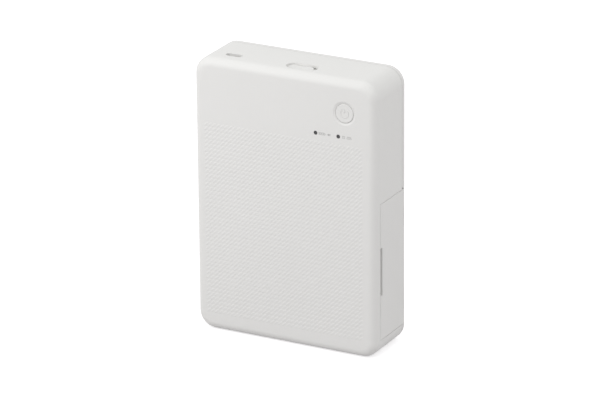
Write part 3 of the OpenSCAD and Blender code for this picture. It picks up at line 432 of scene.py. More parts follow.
def make_finish(name, colour, roughness=0.5, metallic=0.0, tone=0.03, grains=5200, grain_depth=0.01,
                lines=None, edge=0.0002, edge_tint=1.03, smudge=0.04, dust=0.0, specular=0.5, coat=0.0,
                paint=None):
    """Makes a Principled material with grain or tool lines, soft edges, smudges and dust."""
    material = bpy.data.materials.new(name)
    material.use_nodes = True
    tree = material.node_tree
    shader = tree.nodes["Principled BSDF"]
    set_inputs(shader, Metallic=metallic, Specular_IOR_Level=specular, Coat_Weight=coat,
               Coat_Roughness=COAT_ROUGHNESS)
    if lines:
        surface = use_group(tree, tool_lines, Along_X=lines[0], Along_Y=lines[1], Along_Z=lines[2])
    else:
        surface = use_group(tree, fine_grain, Grains_per_metre=grains)
    marks = use_group(tree, handling)
    corners = use_group(tree, soft_edge, Radius=edge)
    base = mix_colour(tree, surface.outputs["Tone"], shade(colour, 1 - tone), shade(colour, 1 + tone))
    if paint:
        base = paint(tree, base)
    rubbed = math_node(tree, "MULTIPLY", corners.outputs["Edge"], 0.5)
    base = mix_colour(tree, rubbed, base, shade(colour, edge_tint))
    if dust:
        settled = math_node(tree, "MULTIPLY", marks.outputs["Dust"], dust)
        base = mix_colour(tree, settled, base, DUST_COLOUR)
    tree.links.new(base, shader.inputs["Base Color"])
    polish = math_node(tree, "MULTIPLY", marks.outputs["Smudge"], smudge)
    gloss = math_node(tree, "SUBTRACT", roughness + tone, polish)
    grain_gloss = math_node(tree, "MULTIPLY", surface.outputs["Tone"], -tone)
    gloss = math_node(tree, "ADD", gloss, grain_gloss, clamp=True)
    tree.links.new(gloss, shader.inputs["Roughness"])
    bump = tree.nodes.new("ShaderNodeBump")
    set_inputs(bump, Strength=1.0, Distance=grain_depth * MM)
    tree.links.new(surface.outputs["Height"], bump.inputs["Height"])
    tree.links.new(corners.outputs["Normal"], bump.inputs["Normal"])
    tree.links.new(bump.outputs["Normal"], shader.inputs["Normal"])
    finishes[name] = material


# %% [markdown]
# ### Plastics
#
# The case is a warm, satin white. The tray and guides inside are a plain
# grey, the gears a waxy white, and the cassette almost black. They share the
# grain, but each has its own size and depth of it.

# %% Case and inner plastics
CASE_WHITE = (0.745, 0.742, 0.727)
make_finish("case_white", CASE_WHITE, roughness=0.52, tone=0.008, grains=4600, grain_depth=0.006,
            edge=0.00025, edge_tint=1.01, smudge=0.05, specular=0.35)
make_finish("inner_grey", (0.34, 0.35, 0.36), roughness=0.55, smudge=0.08)
make_finish("gear_white", (0.70, 0.67, 0.59), roughness=0.38, tone=0.02, grains=1600, grain_depth=0.004,
            edge=0.0001)
make_finish("cassette_black", (0.022, 0.022, 0.025), roughness=0.5, tone=0.12, grains=3800,
            grain_depth=0.012, edge_tint=1.8, dust=0.04)
make_finish("spool_grey", (0.07, 0.07, 0.075), roughness=0.42, tone=0.08, edge_tint=1.5)
make_finish("chip_black", (0.02, 0.02, 0.022), roughness=0.55, tone=0.1, grains=9000, edge_tint=1.6)
make_finish("lever_orange", (0.68, 0.12, 0.02), roughness=0.35, tone=0.04, edge=0.00015, edge_tint=1.1)
make_finish("smoked_window", (0.012, 0.012, 0.014), roughness=0.16, tone=0.02, grains=900,
            grain_depth=0.001, edge=0.0001, edge_tint=2.0, smudge=0.06, coat=0.4)
print("finishes so far", sorted(finishes))

# %% [markdown]
# ### Rubbers
#
# The rollers are ground to size, so their skin has fine rings. The feet are
# softer and lighter, and pick up dust.

# %% Rubbers
make_finish("black_rubber", (0.028, 0.028, 0.03), roughness=0.72, tone=0.12, lines=(7000, 120, 120),
            grain_depth=0.02, edge_tint=1.5, dust=0.05, specular=0.3)
make_finish("grey_rubber", (0.30, 0.30, 0.295), roughness=0.78, tone=0.04, grains=2600, grain_depth=0.02,
            edge_tint=1.1, dust=0.03, specular=0.25)

# %% [markdown]
# ### Metals
#
# Sheet steel is rolled along the height of the plates, ground bar has rings
# round its axis, and drawn wire has lines along it. Brass and bronze are
# turned. The shell of the port is satin nickel. The screws are blackened,
# and their edges are rubbed bright.

# %% Metals
make_finish("plate_steel", (0.50, 0.51, 0.52), roughness=0.36, metallic=1.0, tone=0.08,
            lines=(2500, 2500, 60), grain_depth=0.004, edge_tint=1.25, smudge=0.12)
make_finish("bright_steel", (0.62, 0.62, 0.63), roughness=0.22, metallic=1.0, tone=0.05,
            lines=(6000, 90, 90), grain_depth=0.002, edge=0.0001, edge_tint=1.15)
make_finish("satin_nickel", (0.72, 0.71, 0.69), roughness=0.55, metallic=0.6, tone=0.04, grains=5000,
            grain_depth=0.002, edge=0.00005, edge_tint=1.1)
make_finish("spring_steel", (0.42, 0.43, 0.45), roughness=0.3, metallic=1.0, tone=0.08,
            lines=(900, 900, 900), grain_depth=0.002, edge=0.00003, edge_tint=1.1)
make_finish("brass", (0.72, 0.50, 0.18), roughness=0.28, metallic=1.0, tone=0.06,
            lines=(5000, 120, 120), grain_depth=0.003, edge=0.00006, edge_tint=1.2)
make_finish("bronze", (0.40, 0.24, 0.11), roughness=0.45, metallic=1.0, tone=0.1, grains=7000,
            edge_tint=1.2)
make_finish("aluminium", (0.60, 0.61, 0.62), roughness=0.34, metallic=1.0, tone=0.05,
            lines=(40, 3500, 3500), grain_depth=0.004, edge_tint=1.15)
make_finish("screw_dark", (0.035, 0.035, 0.038), roughness=0.38, metallic=0.7, tone=0.15, grains=6000,
            grain_depth=0.005, edge=0.0001, edge_tint=5.0)


# %% [markdown]
# ### Patterned finishes
#
# A few surfaces carry a pattern of their own. The edge of a stack of sheets
# shows one line for each sheet. The flat cable shows its copper tracks
# through the amber film. The battery's wrap has a seam, and the ceramic of
# the print head has one dark line of heaters. Each pattern is a small
# function that recolours the base.

# %% Stripes and bands
def stripes(tree, axis, period, share, amount):
    """A mask of stripes that cross one axis. The period is in millimetres, the share is the stripe's."""
    wave = math_node(tree, "FRACT", math_node(tree, "MULTIPLY", along(tree, axis), 1 / (period * MM)))
    return math_node(tree, "MULTIPLY", spread(tree, wave, share - 0.1, share + 0.1, 1.0, 0.0), amount)


def single_line(tree, axis, at, inner, outer):
    """A mask of one soft line across an axis, from its middle and its two half widths in millimetres."""
    away = math_node(tree, "ABSOLUTE", math_node(tree, "SUBTRACT", along(tree, axis), at * MM))
    return spread(tree, away, inner * MM, outer * MM, 1.0, 0.0)


def sheet_lines(tree, base):
    return mix_colour(tree, stripes(tree, "Y", 0.19, 0.25, 0.35), base, (0.45, 0.44, 0.42))


def cable_tracks(tree, base):
    return mix_colour(tree, stripes(tree, "X", 0.8, 0.5, 0.65), base, (0.52, 0.22, 0.06))


def wrap_seam(tree, base):
    return mix_colour(tree, single_line(tree, "X", -30.5, 0.6, 0.9), base, (0.55, 0.47, 0.2))


def head_glaze(tree, base):
    line = single_line(tree, "Z", 37.0, 0.2, 0.4)
    return mix_colour(tree, math_node(tree, "MULTIPLY", line, 0.8), base, (0.12, 0.09, 0.07))


# %% [markdown]
# The dye film carries its three colours one after the other, so a ramp with
# hard steps colours it by its place. The board's tracks come from a cell
# pattern whose distance is folded into rings of straight lines, and small
# dots from a second cell pattern are the plated holes between them.

# %% Dye film and board
DYE_BANDS = [(0.0, (0.02, 0.25, 0.45)), (0.30, (0.45, 0.02, 0.16)), (0.62, (0.80, 0.55, 0.02))]
FILM_FROM, FILM_TO = 21 * MM, 53 * MM


def film_bands(tree, base):
    ramp = tree.nodes.new("ShaderNodeValToRGB")
    ramp.color_ramp.interpolation = "CONSTANT"
    tree.links.new(spread(tree, along(tree, "Z"), FILM_FROM, FILM_TO), ramp.inputs["Fac"])
    stops = ramp.color_ramp.elements
    for i, (at, colour) in enumerate(DYE_BANDS):
        stop = stops[i] if i < 2 else stops.new(at)
        stop.position, stop.color = at, (*colour, 1.0)
    return mix_colour(tree, 0.85, base, ramp.outputs["Color"])


def cells(tree, scale, distance="EUCLIDEAN"):
    """Distance to the middle of the nearest cell of a Voronoi pattern."""
    node = tree.nodes.new("ShaderNodeTexVoronoi")
    node.distance = distance
    node.inputs["Scale"].default_value = scale
    tree.links.new(object_place(tree), node.inputs["Vector"])
    return node.outputs["Distance"]


def board_tracks(tree, base):
    folded = math_node(tree, "FRACT", math_node(tree, "MULTIPLY", cells(tree, 420.0, "MANHATTAN"), 5.0))
    tracks = math_node(tree, "MULTIPLY", spread(tree, folded, 0.4, 0.55), 0.5)
    with_tracks = mix_colour(tree, tracks, base, (0.02, 0.16, 0.075))
    holes = spread(tree, cells(tree, 260.0), 0.10, 0.13, 1.0, 0.0)
    return mix_colour(tree, holes, with_tracks, (0.45, 0.40, 0.28))


# %% [markdown]
# With the patterns ready, the last finishes are made. Each passes its own
# pattern to the finish, which lays it over the base colour before the edges
# and the dust.

# %% Patterned finishes
make_finish("paper", (0.80, 0.80, 0.785), roughness=0.6, tone=0.01, grains=3000, grain_depth=0.002,
            edge=0.00002, edge_tint=1.0, paint=sheet_lines)
make_finish("flex_amber", (0.30, 0.10, 0.02), roughness=0.28, tone=0.05, edge=0.00005, paint=cable_tracks,
            coat=0.3)
make_finish("film_supply", (0.55, 0.34, 0.05), roughness=0.2, tone=0.04, grains=500, edge=0.00005,
            paint=film_bands, coat=0.3)
make_finish("film_used", (0.055, 0.05, 0.10), roughness=0.24, tone=0.1, lines=(3000, 60, 60),
            grain_depth=0.002, edge=0.00005, coat=0.3)
make_finish("board_green", (0.012, 0.10, 0.045), roughness=0.32, tone=0.06, edge=0.0001, paint=board_tracks,
            coat=0.3)
make_finish("battery_wrap", (0.075, 0.10, 0.15), roughness=0.3, tone=0.06, grains=700, grain_depth=0.02,
            edge=0.0008, edge_tint=1.2, paint=wrap_seam)
make_finish("ceramic", (0.72, 0.69, 0.62), roughness=0.3, tone=0.02, grains=6000, grain_depth=0.002,
            edge=0.0001, paint=head_glaze, coat=0.5)
print("finishes", len(finishes))

# %% [markdown]
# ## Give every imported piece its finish
#
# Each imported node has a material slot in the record, and the finish of the
# same name goes on it. All of them become smooth skins, since nearly every
# one has a bore, a round edge or a tooth. The steel shell of the port gets a
# nickel finish of its own, and its rim is sunk so that the white wall of the
# opening shows above it.

# %% Dress the nodes
SHELL_SUNK, SHELL_RIM = 0.85, 0.5
OWN_FINISH = {"usb_shell": "satin_nickel"}

skins = {}
for node in sorted(nodes):
    skins[node] = smooth_skin(node, finishes[OWN_FINISH.get(node, slot_of_node[node])])
for vert in skins["usb_shell"].data.vertices:
    if vert.co.z > high.z - SHELL_RIM * MM:
        vert.co.z -= SHELL_SUNK * MM
print("skins", len(skins), "triangles", sum(len(s.data.polygons) for s in skins.values()))

# %% [markdown]
# ## Springs with meshes of their own
#
# A coil spring gets shorter as the part in front of it moves, while its seat
# stays where it is. Here each spring's skin only gets a copy of its mesh,
# and its shape is left as it is.

# %% Give the springs meshes of their own
def shorten(node):
    """Gives a spring's skin a copy of its mesh, which is not changed here."""
    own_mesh(skins[node])


shorten("pressure_springs")
shorten("head_springs")
shorten("latch_spring")

# %% [markdown]
# ## The relief on the front
#
# The front is covered by a relief of tiny slanted bumps, much like a coarse
# twill cloth. Each bump is shaped like a grain of rice that leans to the
# right, and each row of them meets the next, so light from the upper left
# picks out slanting lines. One grain is a squashed ball whose lower part is
# sunk in the wall. It has a few dozen faces, and two Array modifiers repeat
# it over the field. All measures here are in millimetres.

# %% Field of grains
PITCH = 2.28
GRAIN = dict(long=1.86, wide=0.72, tall=0.165, sunk=0.085)
FIELD = dict(left=-45.5, right=45.5, low=9.0, top=113.4)
PHASE = (1.45, 1.49)
front = low.y / MM


def first_and_count(start, end, phase):
    """First grain inside the field, and how many fit, for one direction."""
    reach = GRAIN["long"] * math.sqrt(0.5)
    first = math.ceil((start + reach - phase) / PITCH) * PITCH + phase
    return first, int((end - reach - first) / PITCH) + 1


def grain_field(name):
    shape = bmesh.new()
    first_x, columns = first_and_count(FIELD["left"], FIELD["right"], PHASE[0])
    first_z, rows = first_and_count(FIELD["low"], FIELD["top"], PHASE[1])
    squash = Matrix.Diagonal((GRAIN["long"] * MM, GRAIN["tall"] * MM, GRAIN["wide"] * MM, 1))
    lean = Matrix.Rotation(math.radians(-45), 4, "Y")
    upright = Matrix.Rotation(math.radians(90), 4, "X")
    place = Matrix.Translation(Vector((first_x, front + GRAIN["sunk"], first_z)) * MM)
    bmesh.ops.create_uvsphere(shape, u_segments=12, v_segments=6, radius=1,
                              matrix=place @ lean @ squash @ upright)
    sunk = [v for v in shape.verts if v.co.y > (front + GRAIN["sunk"] * 1.2) * MM]
    bmesh.ops.delete(shape, geom=sunk, context="VERTS")
    grain = make_piece(name, shape, "body", "case_white", sharp=80)
    for axis, count in ((0, columns), (2, rows)):
        row = grain.modifiers.new("repeat_" + "xyz"[axis], "ARRAY")
        row.count = count
        row.use_relative_offset = False
        row.use_constant_offset = True
        row.constant_offset_displace = [PITCH * MM if i == axis else 0 for i in range(3)]
    print("grains", columns, "by", rows, "with", len(grain.data.polygons), "faces each")


grain_field("front_relief")

# %% [markdown]
# ## The mark on the power button
#
# The button carries the usual sign for standby, a ring that is open at the
# top with a short bar in the gap. It is moulded in the same plastic, so only
# its edges show. A small rectangle is spun round the button's axis for the
# ring, and a block makes the bar.

# %% Power mark
button_low, button_high = millimetre_box("power_button")
button_x, button_z = (button_low.x + button_high.x) / 2, (button_low.z + button_high.z) / 2
MARK = dict(radius=2.2, line=0.55, proud=0.2, gap=38, face=0.15, root=0.1, bar=(0.3, 0.35))


def power_mark():
    shape = bmesh.new()
    face = button_low.y + MARK["face"] - MARK["proud"]
    deep, half = MARK["proud"] + MARK["root"], MARK["line"] / 2
    place = (button_x + MARK["radius"], face + deep / 2, button_z)
    start = add_rectangle(shape, (MARK["line"], deep, 1), place)
    first = Matrix.Rotation(math.radians(MARK["gap"] - 90), 3, "Y")
    bmesh.ops.rotate(shape, cent=Vector((button_x, 0, button_z)) * MM, matrix=first, verts=start)
    spin_rectangle(shape, start, (button_x, 0, button_z), (0, 1, 0), 360 - 2 * MARK["gap"], 48)
    foot, head = button_z + MARK["bar"][0], button_z + MARK["radius"] + MARK["bar"][1]
    add_block(shape, (button_x - half, button_x + half), (face, face + deep), (foot, head))
    return make_piece("power_mark", shape, "button", "case_white")


power_sign = power_mark()
corners = [Vector(c) / MM for c in power_sign.bound_box]
print("power mark from", [round(v, 2) for v in corners[0]], "to", [round(v, 2) for v in corners[6]])

# %% [markdown]
# ## Printed signs by the status windows
#
# Two small windows say how full the battery is and whether the printer is
# ready. Beside the first stand an outline of a battery with three bars and a
# plug, and beside the second a sheet with two lines and a pile of sheets.
# They are general signs, drawn as thin films of grey ink that stand about a
# hundredth of a millimetre proud.

# %% Status signs
make_finish("grey_ink", (0.45, 0.45, 0.44), roughness=0.6, tone=0.05, grains=9000, grain_depth=0.001,
            edge=0.00001, edge_tint=1.0)
window_low, window_high = millimetre_box("led_windows")
window_z = (window_low.z + window_high.z) / 2
INK = (front - 0.012, front + 0.01)
OUTLINES = [(19.4, -0.65, 3.5, 1.3), (32.5, -0.7, 1.5, 1.4), (35.0, -0.65, 2.6, 0.8)]
BATTERY = [(22.9, 23.2, -0.3, 0.3)] + [(19.85 + i * 0.95, 20.45 + i * 0.95, -0.3, 0.3) for i in range(3)]
PLUG = [(24.0, 24.6, -0.12, 0.12), (24.6, 25.5, -0.5, 0.5)]
PLUG += [(25.5, 26.2, side - 0.12, side + 0.12) for side in (-0.3, 0.3)]
SHEET = [(32.95, 33.55, rise, rise + 0.16) for rise in (-0.28, 0.12)]
PILE = [(35.2, 37.4, rise, rise + 0.14) for rise in (0.28, 0.56)]


def ink_frame(shape, x, z, width, height, line=0.2):
    """A rectangle drawn with one line width, from its lower left corner."""
    for z0 in (z, z + height - line):
        add_block(shape, (x, x + width), INK, (z0, z0 + line))
    for x0 in (x, x + width - line):
        add_block(shape, (x0, x0 + line), INK, (z + line, z + height - line))


def status_signs():
    """Outlines and blocks, with their heights counted from the middle of the windows."""
    shape = bmesh.new()
    for x, z, width, height in OUTLINES:
        ink_frame(shape, x, window_z + z, width, height)
    for x0, x1, z0, z1 in BATTERY + PLUG + SHEET + PILE:
        add_block(shape, (x0, x1), INK, (window_z + z0, window_z + z1))
    return make_piece("status_signs", shape, "body", "screw_dark", finish="grey_ink")


signs = status_signs()
print("sign faces", len(signs.data.polygons))

# %% [markdown]
# ## End caps of the two motors
#
# A small motor's can is drawn steel, and its open end is closed by a nylon
# cap with a boss for the rear bearing. Two brass tabs come out of the cap
# for the wires. The caps are short turned shapes, so cones with a tapered
# tip make their rounded rims.

# %% Motor caps
CAP = dict(start=-0.1, end=0.5, wide=0.86, tip=0.82, sides=48)
BOSS = dict(start=0.4, end=1.1, wide=0.32, tip=0.28, sides=32)
TAB = dict(start=0.3, end=1.9, off_axis=0.58, thick=0.15, wide=0.7, bevel=0.05)


def motor_end(node):
    lowest, highest = millimetre_box(node)
    end, y, z = highest.x, (lowest.y + highest.y) / 2, (lowest.z + highest.z) / 2
    radius = (highest.z - lowest.z) / 2
    cap, tabs = bmesh.new(), bmesh.new()
    for rod in (CAP, BOSS):
        add_rod(cap, (end + rod["start"], y, z), (end + rod["end"], y, z),
                radius * rod["wide"], radius * rod["tip"], rod["sides"])
    for side in (-1, 1):
        at = y + side * radius * TAB["off_axis"]
        add_block(tabs, (end + TAB["start"], end + TAB["end"]), (at - TAB["thick"], at + TAB["thick"]),
                  (z - TAB["wide"], z + TAB["wide"]), TAB["bevel"])
    body = body_of_node[node]
    return [make_piece(node + "_cap", cap, body, "gear_white", sharp=40),
            make_piece(node + "_tabs", tabs, body, "brass")]


motor_details = [piece for node in ("feed_motor", "ribbon_motor") for piece in motor_end(node)]
print("motor details", len(motor_details))

# %% [markdown]
# ## Small parts on the board
#
# Between the chips of a real board sit rows of tiny ceramic capacitors with
# tinned ends. They are all the same small block, so a list of places is
# enough. Those that stand upright have their length along the height.

# %% Capacitors
board = body_of_node["main_board"]
board_front = millimetre_box("main_board")[0].y
SUNK_IN_BOARD = 0.05
CAPACITOR = dict(long=1.6, wide=0.8, tall=0.7, end=0.35, end_proud=0.03, waist=0.1)
make_finish("ceramic_tan", (0.42, 0.30, 0.19), roughness=0.45, tone=0.06, grains=9000, edge=0.00005,
            edge_tint=1.1)
places = [(-37 + 3.2 * i, 98.5, False) for i in range(7)] + [(-17, 109.5 + 2.9 * i, True) for i in range(5)]
places += [(3 + 2.6 * i, 122.6, False) for i in range(4)] + [(-15 + 4.2 * i, 134, False) for i in range(8)]


def capacitors():
    bodies, ends = bmesh.new(), bmesh.new()
    size, waist = CAPACITOR, CAPACITOR["waist"]
    deep = (board_front - size["tall"], board_front + SUNK_IN_BOARD)
    for x, z, upright in places:
        length, width = (size["wide"], size["long"]) if upright else (size["long"], size["wide"])
        add_block(bodies, (x - length / 2 + waist, x + length / 2 - waist),
                  (deep[0] + size["end_proud"], deep[1]), (z - width / 2 + waist, z + width / 2 - waist))
        half = (size["wide"] / 2, size["end"] / 2) if upright else (size["end"] / 2, size["wide"] / 2)
        for side in (-1, 1):
            shift = side * (size["long"] - size["end"]) / 2
            ex, ez = (x, z + shift) if upright else (x + shift, z)
            add_block(ends, (ex - half[0], ex + half[0]), deep, (ez - half[1], ez + half[1]))
    return [make_piece("capacitors", bodies, board, "ceramic", finish="ceramic_tan"),
            make_piece("capacitor_ends", ends, board, "bright_steel")]


small_parts = capacitors()
print("capacitors", len(places))

# %% [markdown]
# The two larger chips stand on legs along both sides. Each leg is bent like
# a knee, with a foot on the board and a short shoulder at the chip, so two
# small blocks that overlap make one.

# %% Chip legs
CHIPS = [(2, 10, 109, 119, 1.27), (20, 26, 102, 108, 0.95)]
LEG = dict(half=0.2, under=0.1, foot=0.9, shoulder=0.3, low=0.25, high=0.55, spare=0.6)


def chip_legs():
    """Legs for each chip, from its left, right, lower and upper edge and the pitch of its legs."""
    legs = bmesh.new()
    for left, right_edge, bottom, top, pitch in CHIPS:
        count = int((top - bottom - LEG["spare"]) / pitch)
        first = (bottom + top) / 2 - (count - 1) * pitch / 2
        for i in range(count):
            z = (first + i * pitch - LEG["half"], first + i * pitch + LEG["half"])
            for edge, side in ((left, -1), (right_edge, 1)):
                foot = sorted((edge - side * LEG["under"], edge + side * LEG["foot"]))
                shoulder = sorted((edge - side * LEG["under"], edge + side * LEG["shoulder"]))
                add_block(legs, foot, (board_front - LEG["low"], board_front + SUNK_IN_BOARD), z)
                add_block(legs, shoulder, (board_front - LEG["high"], board_front), z)
    return make_piece("chip_legs", legs, board, "bright_steel")


small_parts.append(chip_legs())
print("leg faces", len(small_parts[-1].data.polygons))

# %% [markdown]
# ## Contacts on the tongue of the port
#
# The tongue of a USB-C port carries twelve gold contacts on each side, half a
# millimetre apart. They lie almost flush, so thin strips that stand a
# fiftieth of a millimetre proud are enough to catch the light.

# %% Port contacts
CONTACT = dict(count=12, pitch=0.5, width=0.26, proud=0.02, face=0.35, start=4.2, stop=0.4)


def port_contacts():
    strips = bmesh.new()
    lowest, highest = millimetre_box("usb_tongue")
    middle = (lowest + highest) / 2
    height = (highest.z - CONTACT["start"], highest.z - CONTACT["stop"])
    for i in range(CONTACT["count"]):
        x = middle.x + (i - (CONTACT["count"] - 1) / 2) * CONTACT["pitch"]
        across = (x - CONTACT["width"] / 2, x + CONTACT["width"] / 2)
        for side in (-1, 1):
            face = middle.y + side * CONTACT["face"]
            add_block(strips, across, (face - CONTACT["proud"], face + CONTACT["proud"]), height)
    return make_piece("port_contacts", strips, body_of_node["usb_tongue"], "brass")


contacts = port_contacts()
print("contact faces", len(contacts.data.polygons))

# %% [markdown]
# ## Details of the ink cassette
#
# The grip end of the cassette has a moulded ring round the end of each
# spool, and the pull tab has ribs on the side where a finger hooks behind
# it.

# %% Rings and ribs of the cassette
cassette_low, cassette_high = millimetre_box("cassette_case")
RING = dict(radius=4.6, wide=0.7, deep=0.5, proud=0.4)
RIB = dict(count=5, pitch=2.4, half=0.4, y=(-10.45, -10.1), reach=(0.9, 0.1), bevel=0.12)
grip_face = cassette_high.x - 1


def cassette_details():
    shape = bmesh.new()
    for name in ("supply_spool", "takeup_spool"):
        centre = sum(millimetre_box(name), Vector()) / 2
        at = (grip_face + RING["proud"] - RING["deep"] / 2, centre.y + RING["radius"], centre.z)
        start = add_rectangle(shape, (RING["deep"], RING["wide"], 1), at)
        spin_rectangle(shape, start, (0, centre.y, centre.z), (1, 0, 0), 360, 48)
    x = (cassette_high.x - RIB["reach"][0], cassette_high.x - RIB["reach"][1])
    for i in range(RIB["count"]):
        z = (cassette_low.z + cassette_high.z) / 2 + (i - (RIB["count"] - 1) / 2) * RIB["pitch"]
        add_block(shape, x, RIB["y"], (z - RIB["half"], z + RIB["half"]), RIB["bevel"])
    return make_piece("cassette_details", shape, body_of_node["cassette_case"], "cassette_black", sharp=40)


cassette_trim = cassette_details()
print("cassette trim faces", len(cassette_trim.data.polygons))

# %% [markdown]
# ## Cork pad and battery tape
#
# Two soft details: a cork pad on the pressure plate, which holds the last
# sheets back so that only one feeds at a time, and the amber tape round the
# end of the battery that covers its safety circuit.

# %% Pad and tape
make_finish("cork", (0.36, 0.22, 0.12), roughness=0.9, tone=0.22, grains=1500, grain_depth=0.05,
            edge_tint=1.1, specular=0.2)
make_finish("amber_tape", (0.50, 0.24, 0.03), roughness=0.25, tone=0.05, grains=400, edge=0.00005,
            coat=0.3)


def thin_block(name, x, y, z, bevel, finish, node, slot):
    shape = bmesh.new()
    add_block(shape, x, y, z, bevel)
    return make_piece(name, shape, body_of_node[node], slot, finish)


plate_low = millimetre_box("pressure_plate")[0]
cell_low, cell_high = millimetre_box("battery")
PAD = dict(half=18, up=(1.5, 9.5), proud=0.2, root=0.05, bevel=0.08)
TAPE = dict(length=8, thick=0.12, bare=0.4, bevel=0.1)
cork_pad = thin_block("cork_pad", (-PAD["half"], PAD["half"]),
                      (plate_low.y - PAD["proud"], plate_low.y + PAD["root"]),
                      (plate_low.z + PAD["up"][0], plate_low.z + PAD["up"][1]),
                      PAD["bevel"], "cork", "pressure_plate", "black_rubber")
battery_tape = thin_block("battery_tape", (cell_low.x - TAPE["thick"], cell_low.x + TAPE["length"]),
                          (cell_low.y - TAPE["thick"], cell_high.y - TAPE["bare"]),
                          (cell_low.z - TAPE["thick"], cell_high.z + TAPE["thick"]),
                          TAPE["bevel"], "amber_tape", "battery", "flex_amber")
print("soft details", cork_pad.name, battery_tape.name)

# %% [markdown]
# ## Lips behind the seams
#
# Where two mouldings of a case meet, one of them carries a thin lip that
# stands behind the joint. It keeps dust out and hides the dark inside, so
# the seam reads as a fine grey line. Each lip here is a strip as thin as the
# gap itself, set a quarter of a millimetre below the surface. Round the door
# it is four straight strips, with a break at the finger slit.

# %% Lips round the door
door_low, door_high = millimetre_box("side_door")
side = high.x / MM
LIP_IN, LIP_OUT, GAP = 1.5, 0.25, 0.1
SLIT_ENDS = (33.3, 58.8)
door_front, door_foot, door_head = door_low.y - GAP, door_low.z - GAP, door_high.z + GAP
rim = millimetre_box("paper_cover")[0].y - GAP


def lip_piece(name, shape):
    return make_piece(name, shape, "body", "case_white", sharp=20)


def door_lips():
    shape = bmesh.new()
    x = (side - LIP_IN, side - LIP_OUT)
    for z in (door_foot, door_head):
        add_block(shape, x, (door_front, rim - GAP), (z - GAP, z + GAP))
    for z0, z1 in ((door_foot, SLIT_ENDS[0]), (SLIT_ENDS[1], door_head)):
        add_block(shape, x, (door_front - GAP, door_front + GAP), (z0, z1))
    return lip_piece("door_seam_lips", shape)


seam_lips = [door_lips()]

# %% [markdown]
# The seam at the rear follows the rounded outline of the case. Its lip is a
# line of edges along that outline, extruded into a narrow band, and a
# Solidify modifier gives the band its depth.

# %% Lip of the rim
CORNER, CORNER_STEPS = 9, 12


def rim_lip():
    """A band just under the surface, from the door's upper seam over the top to the lower left corner."""
    shape = bmesh.new()
    radius = CORNER - LIP_OUT
    x_mid, z_low, z_top = side - CORNER, low.z / MM + CORNER, high.z / MM - CORNER
    path = [Vector((side - LIP_OUT, 0, door_head))]
    for cx, cz, start in ((x_mid, z_top, 0), (-x_mid, z_top, 90), (-x_mid, z_low, 180)):
        for step in range(CORNER_STEPS + 1):
            angle = math.radians(start + step * 90 / CORNER_STEPS)
            path.append(Vector((cx + radius * math.cos(angle), 0, cz + radius * math.sin(angle))))
    verts = [shape.verts.new((p + Vector((0, rim - GAP, 0))) * MM) for p in path]
    edges = [shape.edges.new(pair) for pair in zip(verts, verts[1:])]
    band = bmesh.ops.extrude_edge_only(shape, edges=edges)["geom"]
    moved = [v for v in band if isinstance(v, bmesh.types.BMVert)]
    bmesh.ops.translate(shape, vec=Vector((0, 2 * GAP, 0)) * MM, verts=moved)
    lip = lip_piece("rim_seam_lip", shape)
    thick = lip.modifiers.new("thickness", "SOLIDIFY")
    thick.thickness = (LIP_IN - LIP_OUT) * MM
    thick.offset = -1
    return lip


seam_lips.append(rim_lip())

# %% [markdown]
# The groove between the rear case and the cover is interrupted by the hinge
# lugs, so its lip is a few strips clear of them, with a lower and deeper one
# at either end. The release slider has a gap all round, and a ledge closes
# it along the rear and round the left end.

# %% Lips of the cover and the slider
CLEAR_OF_LUGS = [(-49.4, -47.4), (-39.6, 39.6), (47.4, 49.4)]
BETWEEN_LUGS = dict(start=0.3, stop=0.9, tall=0.55)
AT_ENDS = dict(start=0.3, stop=1.9, tall=0.2)
SLOT = dict(left=1.25, right=9.75, middle=-6.75, half=4.25, fill=0.08, top=1.35, tall=0.5)


def cover_lip():
    shape = bmesh.new()
    groove = door_high.z
    ends = [(-side + LIP_OUT, CLEAR_OF_LUGS[0][0]), (CLEAR_OF_LUGS[-1][1], side - LIP_OUT)]
    for strips, size in ((CLEAR_OF_LUGS, BETWEEN_LUGS), (ends, AT_ENDS)):
        for x in strips:
            add_block(shape, x, (rim + size["start"], rim + size["stop"]), (groove, groove + size["tall"]))
    return lip_piece("cover_seam_lip", shape)


def slider_lip():
    shape = bmesh.new()
    fill, tall, left, middle = (SLOT[key] for key in ("fill", "tall", "left", "middle"))
    top, rear = high.z / MM - SLOT["top"], middle + SLOT["half"]
    add_block(shape, (left, SLOT["right"]), (rear - fill, rear), (top - tall, top))
    start = add_rectangle(shape, (1, fill, tall), (left, rear - fill / 2, top - tall / 2), upright=True)
    spin_rectangle(shape, start, (left, middle, 0), (0, 0, 1), 180, 32)
    return lip_piece("slider_gap_lip", shape)


seam_lips += [cover_lip(), slider_lip()]
print("seam lips", len(seam_lips))

# %% [markdown]
# ## The floor
#
# The floor is white to the camera, in reflections and through glass, while
# the light that it throws back on the printer is that of a plain pale table.
# What the camera sees still darkens where the printer shades the floor. The
# Light Path node tells the two kinds of ray apart.

# %% White to the eye
def seen_directly(tree):
    """One for a ray from the camera, or one that comes by a reflection or through glass."""
    rays = tree.nodes.new("ShaderNodeLightPath")
    mirrored = math_node(tree, "MAXIMUM", rays.outputs["Is Glossy Ray"], rays.outputs["Is Transmission Ray"])
    return math_node(tree, "MAXIMUM", rays.outputs["Is Camera Ray"], mirrored)


def mix_for_the_eye(tree, plain, bright, output):
    """Shows one shader to the camera and the other to the light that bounces round."""
    mix = tree.nodes.new("ShaderNodeMixShader")
    tree.links.new(seen_directly(tree), mix.inputs[0])
    tree.links.new(plain, mix.inputs[1])
    tree.links.new(bright, mix.inputs[2])
    tree.links.new(mix.outputs[0], tree.nodes[output].inputs[0])


# %% [markdown]
# The floor is a wide square. For the camera a glow is added to the light
# that it reflects, so it reaches white everywhere but in the deep shade
# right beside the printer.

# %% Floor
FLOOR_GLOW = 0.62
FLOOR_COLOUR = (0.60, 0.588, 0.597, 1)

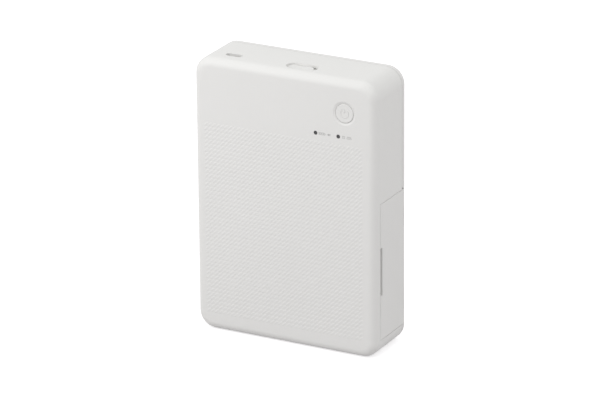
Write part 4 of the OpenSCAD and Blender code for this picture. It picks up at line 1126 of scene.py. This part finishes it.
floor_shape = bmesh.new()
bmesh.ops.create_grid(floor_shape, x_segments=1, y_segments=1, size=3.0)
table = bpy.data.materials.new("pale_table")
table.use_nodes = True
tree = table.node_tree
table_shader = tree.nodes["Principled BSDF"]
set_inputs(table_shader, Base_Color=FLOOR_COLOUR, Roughness=0.9, Specular_IOR_Level=0.1)
glow = tree.nodes.new("ShaderNodeEmission")
set_inputs(glow, Strength=FLOOR_GLOW)
lit = tree.nodes.new("ShaderNodeAddShader")
tree.links.new(table_shader.outputs[0], lit.inputs[0])
tree.links.new(glow.outputs[0], lit.inputs[1])
mix_for_the_eye(tree, table_shader.outputs[0], lit.outputs[0], "Material Output")
floor = object_from("floor", floor_shape, table)

# %% [markdown]
# ## The light
#
# The sky lights the printer evenly from all round. It is white to the
# camera, and a little dimmer as a light.

# %% World
SKY_LIGHT = 0.85

world = bpy.data.worlds.new("studio")
world.use_nodes = True
tree = world.node_tree
plain_sky = tree.nodes["Background"]
set_inputs(plain_sky, Color=(1, 1, 1, 1), Strength=SKY_LIGHT)
white_sky = tree.nodes.new("ShaderNodeBackground")
set_inputs(white_sky, Strength=1.0)
mix_for_the_eye(tree, plain_sky.outputs[0], white_sky.outputs[0], "World Output")
scene.world = world

# %% [markdown]
# Two soft boxes shape the object. The key stands to the left in front and
# makes the front the brightest upright side. The fill stands over the right
# side, so that side grows darker towards the floor, as in the photograph.

# %% Soft boxes
def soft_box(name, place, aim_at, size, power):
    data = bpy.data.lights.new(name, "AREA")
    data.shape, data.size, data.energy = "SQUARE", size, power
    lamp = bpy.data.objects.new(name, data)
    facing = (Vector(aim_at) - Vector(place)).to_track_quat("-Z", "Y").to_matrix().to_4x4()
    lamp.matrix_world = Matrix.Translation(Vector(place)) @ facing
    scene.collection.objects.link(lamp)


soft_box("key_light", (-0.28, -0.34, 0.38), (0, 0, 0.09), 0.28, 0.85)
soft_box("fill_light", (0.28, -0.15, 0.42), (0, 0, 0.10), 0.25, 0.236)
print("stage ready")
